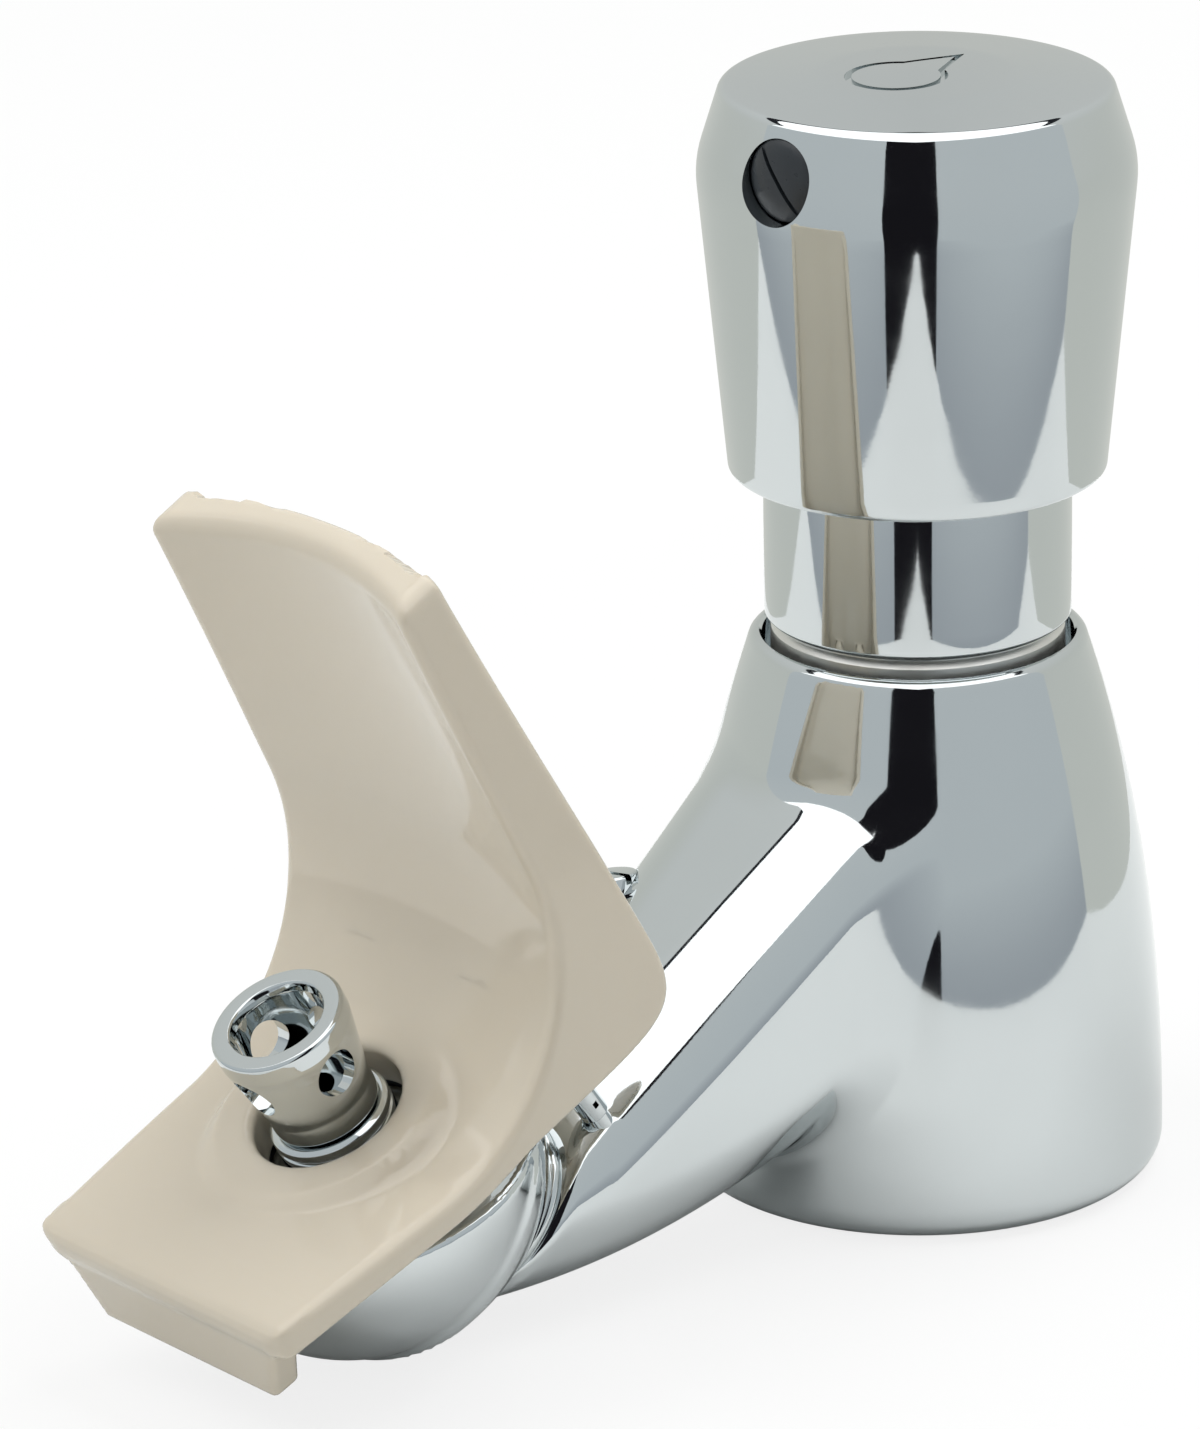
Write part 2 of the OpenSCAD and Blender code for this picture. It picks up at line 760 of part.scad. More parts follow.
// The side view is a plate, a round fold and a shield, walked along their length
plate_dir = [cos(plate_slope), sin(plate_slope)];
shield_dir = [cos(shield_slope), sin(shield_slope)];
fold_turn = shield_slope - plate_slope;
plate_len = 23.8;
fold_len = fold_r * fold_turn * PI / 180;
guard_len = plate_len + fold_len + shield_len;
fold_start = [-guard_front_y, guard_front_z] + plate_len * plate_dir;
fold_mid = fold_start + fold_r * [-plate_dir[1], plate_dir[0]];

function guard_dir(s) = s < plate_len ? plate_slope
  : s > plate_len + fold_len ? shield_slope
  : plate_slope + (s - plate_len) / fold_r * 180 / PI;

function guard_point(s) = s < plate_len
  ? [-guard_front_y, guard_front_z] + s * plate_dir
  : let (
      a = guard_dir(s),
      on_arc = fold_mid + fold_r * [sin(a), -cos(a)]
    )
    on_arc + max(0, s - plate_len - fold_len) * shield_dir;

// Half width along the walk: it widens to the fold and narrows up the shield
function guard_half(s) = s < 38
  ? lerp(guard_front_w, guard_fold_w, sin(90 * s / 38))
  : lerp(guard_fold_w, guard_top_w, pow(sin(90 * max(0, (s - 50) / (guard_len - 50))), 1.3));

function guard_bow(s) = s < plate_len
  ? -plate_crown * sin(90 * s / plate_len)
  : lerp(-plate_crown, shield_sag, pow((s - plate_len) / (guard_len - plate_len), 0.8));

// The outer side is two flats, under the plate and behind the shield, with a rounded corner
under_slope = 26;
under_point = [-106.9, 13.5];
back_slope = 120.3;
back_point = [-59.9, 49.3];
corner_k = 4.6;

function reach(p, out, on, slope) =
  let (m = [sin(slope), -cos(slope)], face = m * out)
  face < 0.12 ? 60 : (m * (on - p)) / face;

function edge_depth(s) =
  let (
    p = guard_point(s),
    a = guard_dir(s),
    out = [sin(a), -cos(a)],
    under = reach(p, out, under_point, under_slope),
    back = reach(p, out, back_point, back_slope)
  )
  -corner_k * ln(exp(-under / corner_k) + exp(-back / corner_k));

function guard_depth(x, w, bow) = bow * (1 - pow(x / w, 2));

// Outline across the guard: x across, second value out of the guard's back; soft rounds the front
function guard_outline(w, bow, deep, wall, soft) = concat(
  [[-w + soft / 2, 1.1 + soft], [0.35 - w + soft / 2, 0.3 + soft]],
  [for (i = [-8 : 8]) let (x = i / 8 * (w - 1.1)) [x, guard_depth(x, w, bow) + soft]],
  [[w - 0.35 - soft / 2, 0.3 + soft], [w - soft / 2, 1.1 + soft]],
  [[w - soft / 2, deep - 0.6], [w - 0.6 - soft / 2, deep], [w - rib_t, deep]],
  [for (i = [7 : -1 : -7]) let (x = i / 7 * (w - rib_t)) [x, guard_depth(x, w, bow) + wall]],
  [[rib_t - w, deep], [0.6 - w + soft / 2, deep], [-w + soft / 2, deep - 0.6]]
);

module guard_skin() {
  steps = 26;
  stations = concat([0, 0.3, 1], [for (i = [1 : steps]) guard_len * i / steps]);
  loft([for (i = [len(stations) - 1 : -1 : 0])
    let (
      s = stations[i],
      p = guard_point(s),
      a = guard_dir(s),
      out = [sin(a), -cos(a)],
      w = guard_half(s),
      bow = guard_bow(s),
      wall = lerp(guard_t, guard_top_t, pow(s / guard_len, 2)),
      least = wall + guard_depth(w - rib_t, w, bow) + 0.4,
      soft = s < 1 ? 1 - sqrt(1 - pow(1 - s, 2)) : 0
    )
    [for (q = guard_outline(w, bow, max(edge_depth(s), least), wall, soft))
      [q[0], p[0] + out[0] * q[1], p[1] + out[1] * q[1]]]]);
}

// The lip narrows downwards and stands just behind the plate's front edge
module guard_lip() {
  top_w = guard_front_w - lip_inset;
  low_w = top_w - 2.6;
  translate([0, -guard_front_y, guard_front_z])
    rotate([plate_slope, 0, 0])
      translate([0, 0.3 + lip_t, 0])
        rotate([90, 0, 0])
          linear_extrude(lip_t)
            polygon([
              [-top_w, -1], [-top_w, -guard_t - 0.6], [0.8 - low_w, -lip_depth + 0.8], [1.8 - low_w, -lip_depth],
              [low_w - 1.8, -lip_depth], [low_w - 0.8, -lip_depth + 0.8], [top_w, -guard_t - 0.6], [top_w, -1]
            ]);
}

module mouth_guard() {
  seat_h = pedestal_h + 0.64;
  color(beige)
    difference() {
      union() {
        guard_skin();
        guard_lip();
        at_nozzle() translate([0, 0, seat_h]) cylinder(r = 12.2, h = -seat_h);
        at_posts() translate([0, 0, 11.4]) cylinder(r = 3.6, h = 12.6);
      }
      at_nozzle() translate([0, 0, -20]) cylinder(r = guard_hole_r, h = 40);
      at_posts() translate([0, 0, 5]) cylinder(r = post_end_r + fix_gap, h = 12);
    }
}

// Slotted stand-offs that carry the back of the guard
module guard_posts() {
  color(chrome)
    at_posts() {
      translate([0, 0, -5.8]) cylinder(r = post_end_r, h = 6);
      difference() {
        cylinder(r = post_r, h = 11.35);
        translate([-4, -0.3, 1.6]) cube([8, 0.6, 0.8]);
      }
      translate([0, 0, 11.2]) cylinder(r = post_end_r, h = 5.4);
    }
}

body_casting();
deck_gasket();
inlet_strainer();
valve_seat();
seat_washer();
washer_cup();
stem_nut();
stem();
stem_clip();
u_cup_seal();
stem_bushing();
valve_housing();
housing_oring();
return_spring();
spring_washer();
bonnet_sleeve();
push_cap();
cap_guide_ring();
cap_set_screw();
cap_plug();
regulator_screw();
regulator_oring();
seam_ring();
head_bowl();
spigot_oring();
bubbler_nozzle();
nozzle_collar();
nozzle_oring();
flow_disc();
guard_gasket();
mouth_guard();
guard_posts();
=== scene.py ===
"""Looks of a push-top drinking fountain bubbler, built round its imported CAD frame."""

import json
import math

import bmesh
import bpy
import numpy as np
from bpy.props import FloatProperty, FloatVectorProperty, PointerProperty
from mathutils import Matrix, Vector

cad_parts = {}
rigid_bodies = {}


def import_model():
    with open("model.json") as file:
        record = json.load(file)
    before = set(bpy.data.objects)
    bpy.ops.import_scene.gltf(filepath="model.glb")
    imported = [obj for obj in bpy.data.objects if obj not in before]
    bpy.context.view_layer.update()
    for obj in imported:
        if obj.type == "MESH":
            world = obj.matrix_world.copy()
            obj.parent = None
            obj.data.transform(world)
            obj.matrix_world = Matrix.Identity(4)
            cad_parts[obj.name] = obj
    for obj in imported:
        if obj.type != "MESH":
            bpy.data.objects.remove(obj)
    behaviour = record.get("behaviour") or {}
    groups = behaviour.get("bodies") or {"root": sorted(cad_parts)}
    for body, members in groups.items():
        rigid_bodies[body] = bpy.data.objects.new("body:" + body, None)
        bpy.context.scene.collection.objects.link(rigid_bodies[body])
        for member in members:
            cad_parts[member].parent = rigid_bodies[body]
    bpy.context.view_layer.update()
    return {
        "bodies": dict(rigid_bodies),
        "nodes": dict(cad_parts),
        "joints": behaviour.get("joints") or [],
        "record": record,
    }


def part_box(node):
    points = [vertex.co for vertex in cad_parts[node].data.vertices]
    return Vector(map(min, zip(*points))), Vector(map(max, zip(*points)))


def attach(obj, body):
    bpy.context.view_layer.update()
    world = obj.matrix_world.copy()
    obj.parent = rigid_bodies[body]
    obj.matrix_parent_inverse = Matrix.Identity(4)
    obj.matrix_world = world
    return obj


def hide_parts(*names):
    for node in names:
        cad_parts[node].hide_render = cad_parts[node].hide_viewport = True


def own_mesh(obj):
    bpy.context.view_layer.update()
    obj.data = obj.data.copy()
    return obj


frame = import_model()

bl_info = {
    "name": "Drinking fountain bubbler",
    "version": (1, 0, 0),
    "blender": (4, 5, 0),
    "location": "3D View > Sidebar > Bubbler",
    "description": "Builds the finished surfaces of a push-top drinking fountain bubbler",
    "category": "Object",
}

MM = 0.001


def box_mm(node):
    """Lowest and highest corner of a CAD node in millimetres."""
    low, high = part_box(node)
    return low / MM, high / MM


def length(name, description, millimetres):
    return FloatProperty(name=name, description=description, default=millimetres * MM, min=0, unit="LENGTH")


def linear(hex_colour):
    """An sRGB hex colour as linear red, green and blue."""
    values = [int(hex_colour[i : i + 2], 16) / 255 for i in (1, 3, 5)]
    return [v / 12.92 if v <= 0.04045 else ((v + 0.055) / 1.055) ** 2.4 for v in values]


def colour(name, description, hex_colour):
    return FloatVectorProperty(
        name=name, description=description, default=linear(hex_colour), size=3, min=0, max=1, subtype="COLOR"
    )


class BubblerSizes(bpy.types.PropertyGroup):
    """Sizes of the visible pieces"""

    foot_radius: length("Foot radius", "Radius of the foot on the deck", box_mm("body_casting")[1].x)
    foot_edge: length("Foot edge", "Rounding of the foot's lower edge", 3.6)
    body_height: length("Body height", "Height of the body's mouth", box_mm("body_casting")[1].z)
    mouth_radius: length("Mouth radius", "Outer radius of the body at its mouth", 18.4)
    arm_top: length("Arm top", "Height of the arm's flat top, 33 mm out", 40.8)
    arm_half_width: length("Arm half width", "Half width of the arm at the body", 15.8)
    arm_end_half_width: length("Arm end half width", "Half width of the arm at its seam", 12)
    arm_corner: length("Arm corner", "Rounding of the arm's upper edges at the body, across", 10)
    arm_end_corner: length("Arm end corner", "The same at the seam", 11)
    arm_drop: length("Arm drop", "Rounding of the arm's upper edges at the body, in height", 10)
    arm_end_drop: length("Arm end drop", "The same at the seam", 15)
    arm_under: length("Arm underside", "Largest rounding of the arm's underside", 12.6)
    arm_blend: length("Arm blend", "Fillet between the arm's sides and the body", 3.8)
    arm_top_blend: length("Arm top blend", "Fillet between the arm's flat top and the body", 1.8)
    bowl_radius: length("Bowl radius", "Radius of the round bowl", 20.2)
    cap_low_radius: length("Cap lower radius", "Radius of the cap at its lower edge", 20.7)
    cap_wide_radius: length("Cap widest radius", "Radius of the cap at its widest", box_mm("push_cap")[1].x)
    cap_wide_height: length("Cap widest height", "Height of the widest line in the cap", 34.6)
    cap_rim_radius: length("Cap rim radius", "Radius of the rim of the cap's top", 21.3)
    cap_rim_height: length("Cap rim height", "Height of the rim in the cap", 43.2)
    mark_line: length("Mark line", "Width of the engraved line on the cap", 0.8)
    guard_edge: length("Guard edge", "Rounding of the guard's inner edges", 1.4)
    nozzle_bore: length("Nozzle bore", "Radius of the nozzle's bore", 5.05)
    side_hole: length("Side hole", "Radius of the nozzle's side holes", 2.55)


class BubblerFinish(bpy.types.PropertyGroup):
    """Colours of the materials"""

    chrome: colour("Chrome", "Bright chrome plate", "#D0D5D6")
    guard: colour("Guard", "Moulded beige plastic", "#CBC2B1")
    plug: colour("Plug", "Black moulded plastic", "#1E2226")
    brass: colour("Brass", "Machined brass", "#C9A557")
    nickel: colour("Nickel", "Nickel plated brass", "#E4E3DF")
    rubber: colour("Rubber", "Black rubber", "#1C1D1F")
    steel: colour("Steel", "Stainless steel", "#B4B8BA")
    nylon: colour("Nylon", "Natural nylon", "#DEDCD2")


# Places of the pieces, in millimetres


class Place:
    """Fixed points, frames and inner sizes of the bubbler, the same as in the part's source"""

    body_curve = 2.4
    mouth_edge = 0.9
    recess_radius, recess = 17.2, 56
    barrel_radius, barrel_floor = 14.2, 35
    web, seat_radius = 30, 6.55
    chamber_radius, chamber = 8.9, 5
    inlet_radius, inlet_depth = 9.5, 12.2
    gasket_inner, gasket_outer, gasket_depth = 14.95, 23.55, 2
    arm_fall = 0.72
    arm_root = 19.4
    # The arm's top is measured this far out, and its underside is lowest further out
    arm_top_reach, arm_low_reach = 33, 62
    arm_low, arm_sag = 2.6, 0.0055
    arm_end_edge = 1.8
    seam_top_reach = 58.8
    seam_low_reach = 71.4
    seam_top = Vector((0, -seam_top_reach, 40.8 - arm_fall * (seam_top_reach - arm_top_reach)))
    seam_low = Vector((0, -seam_low_reach, arm_low + 0.9))
    seam_height = (seam_top - seam_low).length
    seam_lean = math.atan2(seam_low_reach - seam_top_reach, seam_top.z - seam_low.z)
    seam = Matrix.Translation((seam_top + seam_low) / 2) @ Matrix.Rotation(math.pi / 2 - seam_lean, 4, "X")
    ring_thickness = 1.3
    spigot_bore = 8.45
    nozzle = Matrix.Translation((0, -85, 29)) @ Matrix.Rotation(math.radians(28.6), 4, "X")
    shank_bore = 5.05
    pedestal_radius, pedestal = 12.6, -5.6
    regulator = Matrix.Translation((-12, -34.6, 37)) @ Matrix.Rotation(math.radians(-10), 4, "Y")
    regulator_bore = 3.05
    boss_radius, boss_top, boss_low = 4.9, -1.8, -14
    bowl_centre = Vector((0, -82.6, 21.6))
    bowl_slope = math.radians(15)
    spring_radius, spring_wire, spring_turns = 9.5, 0.8, 9
    cap_low = box_mm("push_cap")[0].z
    push_travel = 6
    plug_turn = math.radians(6)
    plug_height = 36.9
    plug_radius = 4.55
    plug = (
        Matrix.Rotation(plug_turn, 4, "Z")
        @ Matrix.Translation((0, 0, cap_low + plug_height))
        @ Matrix.Rotation(math.pi / 2, 4, "X")
    )

    @staticmethod
    def post(side):
        return Matrix.Translation((side * 9.2, -56, 23.3)) @ Matrix.Rotation(math.radians(36), 4, "X")


# Mesh helpers. Shapes are made in millimetres and go to metres when they are placed


def rounded(corners, steps=6):
    """An outline whose corners (x, y, radius) are replaced with arcs."""
    points = []
    for i, (x, y, radius) in enumerate(corners):
        here = Vector((x, y))
        if radius == 0 or i in (0, len(corners) - 1):
            points.append(here)
            continue
        before = (Vector(corners[i - 1][:2]) - here).normalized()
        after = (Vector(corners[i + 1][:2]) - here).normalized()
        half = before.angle(after) / 2
        centre = here + (before + after).normalized() * (radius / math.sin(half))
        start = here + before * (radius / math.tan(half)) - centre
        end = here + after * (radius / math.tan(half)) - centre
        turn = start.angle_signed(end)
        for k in range(steps + 1):
            point = start.copy()
            point.rotate(Matrix.Rotation(-turn * k / steps, 2))
            points.append(centre + point)
    return points


def refined(points, step):
    """The same outline with no stretch longer than step."""
    out = [points[0]]
    for a, b in zip(points, points[1:]):
        count = max(1, math.ceil((b - a).length / step))
        out += [a.lerp(b, k / count) for k in range(1, count + 1)]
    return out


def spun(profile, segments=128):
    """A solid of revolution about Z from an outline of (radius, height) points."""
    bm = bmesh.new()
    verts = [bm.verts.new((p[0], 0, p[1])) for p in profile]
    edges = [bm.edges.new(pair) for pair in zip(verts, verts[1:])]
    bmesh.ops.spin(
        bm, geom=verts + edges, cent=(0, 0, 0), axis=(0, 0, 1), dvec=(0, 0, 0),
        angle=math.tau, steps=segments, use_merge=True, use_duplicate=False,
    )
    bmesh.ops.remove_doubles(bm, verts=bm.verts, dist=1e-4)
    bmesh.ops.recalc_face_normals(bm, faces=bm.faces)
    return bm


def line(*pairs):
    """An outline through plain points."""
    return [Vector(pair) for pair in pairs]


def cylinder(radius, low, high, segments=64):
    return spun(line((0, low), (radius, low), (radius, high), (0, high)), segments)


def lofted(rings):
    """A closed skin through rings of points, made by bridging each ring to the next."""
    bm = bmesh.new()
    loops = []
    for ring in rings:
        verts = [bm.verts.new(p) for p in ring]
        loops.append([bm.edges.new((a, b)) for a, b in zip(verts, verts[1:] + verts[:1])])
    for loop in (loops[0], loops[-1]):
        bmesh.ops.contextual_create(bm, geom=loop)
    for near, far in zip(loops, loops[1:]):
        bmesh.ops.bridge_loops(bm, edges=near + far)
    ends = [f for f in bm.faces if len(f.verts) > 4]
    bmesh.ops.triangulate(bm, faces=ends)
    bmesh.ops.recalc_face_normals(bm, faces=bm.faces)
    return bm


def block(size, centre, edge=0.0, segments=3):
    """A box of that size, with its edges rounded."""
    bm = bmesh.new()
    bmesh.ops.create_cube(bm, size=1)
    bmesh.ops.scale(bm, vec=size, verts=bm.verts)
    bmesh.ops.translate(bm, vec=centre, verts=bm.verts)
    if edge:
        bmesh.ops.bevel(
            bm, geom=bm.edges, offset=edge, offset_type="OFFSET", segments=segments,
            profile=0.5, affect="EDGES", material=-1,
        )
    return bm


def scratch(bm, place=Matrix.Identity(4)):
    """A working object in millimetres."""
    mesh = bpy.data.meshes.new("scratch")
    bm.transform(place)
    bm.to_mesh(mesh)
    bm.free()
    obj = bpy.data.objects.new("scratch", mesh)
    bpy.context.scene.collection.objects.link(obj)
    return obj


def discard(obj):
    mesh = obj.data
    bpy.data.objects.remove(obj)
    bpy.data.meshes.remove(mesh)


def settle(obj):
    """Applies an object's modifiers."""
    bpy.context.view_layer.update()
    evaluated = obj.evaluated_get(bpy.context.evaluated_depsgraph_get())
    mesh = bpy.data.meshes.new_from_object(evaluated)
    old = obj.data
    obj.modifiers.clear()
    obj.data = mesh
    bpy.data.meshes.remove(old)


def combine(obj, other, operation="DIFFERENCE"):
    """Cuts another working object out of obj, or joins it on, and discards it."""
    change = obj.modifiers.new("combine", "BOOLEAN")
    change.operation = operation
    change.solver = "MANIFOLD"
    change.object = other
    settle(obj)
    discard(other)
    if not obj.data.polygons:
        raise RuntimeError("a boolean left nothing of " + obj.name)


def drill(obj, radius, low, high, place=Matrix.Identity(4), segments=64):
    """Cuts a round hole along a frame's Z axis."""
    combine(obj, scratch(cylinder(radius, low, high, segments), place))


def recast(obj, voxel):
    """Rebuilds a working object as one even skin."""
    change = obj.modifiers.new("recast", "REMESH")
    change.mode = "VOXEL"
    change.voxel_size = voxel
    settle(obj)


def soften(obj, rounds, factor=0.5):
    axes = {"use_axis_x": True, "use_axis_y": True, "use_axis_z": True}
    bm = bmesh.new()
    bm.from_mesh(obj.data)
    for _ in range(rounds):
        bmesh.ops.smooth_vert(bm, verts=bm.verts, factor=factor, **axes)
    bm.to_mesh(obj.data)
    bm.free()


def draw_to(obj, distance, rounds, step=0.02):
    """Moves every point of a skin onto the surface where a distance function is nought."""
    count = len(obj.data.vertices)
    points = np.zeros(count * 3)
    obj.data.vertices.foreach_get("co", points)
    points = points.reshape(-1, 3)
    for _ in range(rounds):
        value = distance(points)
        slopes = []
        for axis in step * np.eye(3):
            slopes.append((distance(points + axis) - distance(points - axis)) / (2 * step))
        slope = np.stack(slopes, 1)
        steep = np.maximum((slope**2).sum(1), 0.2)
        points -= (value / steep)[:, None] * slope
    obj.data.vertices.foreach_set("co", points.ravel())
    obj.data.update()


def mould(obj, voxel, rounds, distance):
    """Turns rough solids into one fine skin on a distance function's surface."""
    recast(obj, voxel)
    soften(obj, rounds)
    draw_to(obj, distance, 6)
    soften(obj, 1, 0.3)
    draw_to(obj, distance, 3)


def present(obj, name, body, material, nodes, crease=35):
    """Turns a working object into a finished piece of the bubbler."""
    obj.name = name
    obj.data.name = name
    obj.data.transform(Matrix.Scale(MM, 4))
    obj.data.materials.clear()
    obj.data.materials.append(material)
    obj.data.shade_smooth()
    obj.data.set_sharp_from_angle(angle=math.radians(crease))
    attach(obj, body)
    if nodes:
        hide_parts(*nodes)
    return obj


# Distance fields, in millimetres. They join surfaces with the fillets of a casting or a moulding


def round_cut(a, b, radius):
    """Space inside both, with their shared edge rounded."""
    over = np.hypot(np.maximum(radius + a, 0), np.maximum(radius + b, 0))
    return np.minimum(-radius, np.maximum(a, b)) + over


def round_join(a, b, radius):
    """Space inside either, with a fillet where they meet."""
    over = np.hypot(np.maximum(radius - a, 0), np.maximum(radius - b, 0))
    return np.maximum(radius, np.minimum(a, b)) - over


def in_frame(points, frame):
    """Points as seen from a frame."""
    inverse = np.array(frame.inverted())
    return points @ inverse[:3, :3].T + inverse[:3, 3]


def outline_distance(x, v, width, height, corner, drop, under):
    """Distance to the arm's outline: a round underside, straight sides and elliptical upper corners."""
    under = np.minimum(width, under)
    drop = np.minimum(drop, height - under)
    low = (np.hypot(x * under / width, v - under) - under) * width / under
    across = np.abs(x) - (width - corner)
    above = (v - (height - drop)) * corner / drop
    outside = np.hypot(np.maximum(across, 0), np.maximum(above, 0))
    high = outside + np.minimum(np.maximum(across, above), 0) - corner
    return np.where(v < under, low, high)


def outline_points(width, height, corner, drop, under, steps=12):
    """The same outline as points (x, v), a closed ring."""
    under = min(width, under)
    drop = min(drop, height - under)
    ring = []
    for k in range(2 * steps + 1):
        a = math.pi * (1 + k / (2 * steps))
        ring.append((width * math.cos(a), under + under * math.sin(a)))
    for side in (0, 1):
        middle = (width - corner) * (1 - 2 * side)
        for k in range(steps + 1):
            a = math.pi / 2 * (side + k / steps)
            ring.append((middle + corner * math.cos(a), height - drop + drop * math.sin(a)))
    return ring


def body_distance(points, sizes):
    radius = np.hypot(points[:, 0], points[:, 1])
    share = np.clip(points[:, 2] / sizes["body_height"], 0.001, 1.1)
    spread = sizes["foot_radius"] - sizes["mouth_radius"]
    side = sizes["foot_radius"] - spread * share**Place.body_curve
    lean = Place.body_curve * spread / sizes["body_height"] * share ** (Place.body_curve - 1)
    wall = (radius - side) / np.sqrt(1 + lean**2)
    body = round_cut(wall, -points[:, 2], sizes["foot_edge"])
    return round_cut(body, points[:, 2] - sizes["body_height"], Place.mouth_edge)


def arm_section(t, sizes):
    """Lowest and highest point of the arm's section at a share t of its length."""
    high_y = -(Place.arm_root + (Place.seam_top_reach - Place.arm_root) * t)
    low_y = -(Place.arm_root + (Place.seam_low_reach - Place.arm_root) * t)
    low_z = Place.arm_low + Place.arm_sag * (low_y + Place.arm_low_reach) ** 2
    high_z = sizes["arm_top"] + Place.arm_fall * (high_y + Place.arm_top_reach)
    return low_y, low_z, high_y, high_z


def arm_distance(points, sizes):
    """Distance to the arm, and how far below its top each point lies."""
    # Halving finds each point's section, from inside the body to past the seam
    low_t, high_t = np.full(len(points), -0.35), np.full(len(points), 1.3)
    for _ in range(22):
        t = (low_t + high_t) / 2
        low_y, low_z, high_y, high_z = arm_section(t, sizes)
        rise, run = high_z - low_z, high_y - low_y
        inward = rise * (points[:, 1] - low_y) - run * (points[:, 2] - low_z) > 0
        high_t, low_t = np.where(inward, t, high_t), np.where(inward, low_t, t)
    low_y, low_z, high_y, high_z = arm_section(t, sizes)
    rise, run = high_z - low_z, high_y - low_y
    height = np.hypot(run, rise)
    v = ((points[:, 1] - low_y) * run + (points[:, 2] - low_z) * rise) / height
    share = np.clip(t, 0, 1)
    width, corner, drop = (
        sizes["arm_" + name] + (sizes["arm_end_" + name] - sizes["arm_" + name]) * share
        for name in ("half_width", "corner", "drop")
    )
    sides = outline_distance(points[:, 0], v, width, height, corner, drop, sizes["arm_under"])
    end = in_frame(points, Place.seam)[:, 2]
    return np.maximum(round_cut(sides, end, Place.arm_end_edge), points[:, 1] + 6), height - v


def casting_distance(points, sizes):
    arm, below_top = arm_distance(points, sizes)
    # The fillet grows from the arm's flat top, 3 mm deep, to its sides, 8 mm down
    side = np.clip((below_top - 3) / 5, 0, 1)
    side = side * side * (3 - 2 * side)
    fillet = sizes["arm_top_blend"] + (sizes["arm_blend"] - sizes["arm_top_blend"]) * side
    solid = round_join(body_distance(points, sizes), arm, fillet)
    local = in_frame(points, Place.regulator)
    around = np.hypot(local[:, 0], local[:, 1])
    boss = round_cut(around - Place.boss_radius, local[:, 2] - Place.boss_top, 0.5)
    return round_join(solid, np.maximum(boss, Place.boss_low - local[:, 2]), 1.2)


def bowl_distance(points, sizes):
    """Distance to the bowl: a ball with a neck that widens from the seam, cut by a slope, and a pedestal."""
    radius = sizes["bowl_radius"]
    near_share, far_share, far_depth = 0.96, 0.83, 0.55
    centre = np.array(Place.bowl_centre)
    ball = np.linalg.norm(points - centre, axis=1) - radius
    local = in_frame(points, Place.seam)
    far = in_frame(centre[None, :], Place.seam)[0] - np.array((0, 0, far_depth * radius))
    share = np.clip((local[:, 2] - Place.ring_thickness) / (far[2] - Place.ring_thickness), 0, 1)
    near_height, far_width = near_share * Place.seam_height, far_share * radius
    near = (
        near_share * sizes["arm_end_half_width"],
        near_height,
        near_share * sizes["arm_end_corner"],
        near_share * (Place.seam_height - sizes["arm_end_half_width"]),
        -near_height / 2,
    )
    wide = (far_width, 2 * far_width, far_width, far_width, far[1] - far_width)
    width, height, corner, drop, low = (a + (b - a) * share for a, b in zip(near, wide))
    neck = outline_distance(local[:, 0], local[:, 1] - low, width, height, corner, drop, width)
    neck = np.maximum(neck, local[:, 2] - far[2])
    solid = round_join(ball, neck, 3)
    slope = Place.bowl_slope
    top = (points - centre) @ np.array((0, -math.sin(slope), math.cos(slope)))
    solid = round_cut(solid, top, 0.8)
    solid = round_cut(solid, Place.ring_thickness + 0.02 - local[:, 2], 0.6)
    nozzle = in_frame(points, Place.nozzle)
    reach = np.hypot(nozzle[:, 0], nozzle[:, 1])
    pedestal = np.maximum(reach - Place.pedestal_radius, -Place.pedestal - 20 - nozzle[:, 2])
    return round_cut(np.minimum(solid, pedestal), nozzle[:, 2] - Place.pedestal, 0.5)


# The guard's side view is a plate, a round fold and a shield, walked along their length


class GuardWalk:
    """Side view of the guard and its width, the same as in the part's source"""

    front = (-109.1, 16.6)
    front_width, fold_width, top_width = 20.2, 22.6, 20.7
    plate_slope, shield_slope = math.radians(22.3), math.radians(117.2)
    fold_radius = 24
    plate = 23.8
    fold = fold_radius * (shield_slope - plate_slope)
    total = plate + fold + 35.5
    wall, top_wall, rib = 3, 4, 2.6
    crown, sag = 1.3, 4.6
    flats = ((math.radians(26), (-106.9, 13.5)), (math.radians(120.3), (-59.9, 49.3)))
    corner = 4.6
    start_y = front[0] + plate * math.cos(plate_slope)
    start_z = front[1] + plate * math.sin(plate_slope)
    middle = (start_y - fold_radius * math.sin(plate_slope), start_z + fold_radius * math.cos(plate_slope))

    # The front edge and the lip below it, by their place along the walk and their depth
    front_edge = 0.45
    lip_place, lip_half, lip_depth = 2.35, 1.9, 11.4
    lip_depths, lip_widths = (0, 4, 10.2, 12), (19.4, 17.4, 14.6, 14.2)
    # Round the nozzle
    hole, hole_edge = 8.5, 1.1
    seat_radius, ring_radius, ring_height = 12.2, 13.8, 0.4
    # Round each post
    boss_radius, boss_low, boss_high = 3.6, 11.4, 24


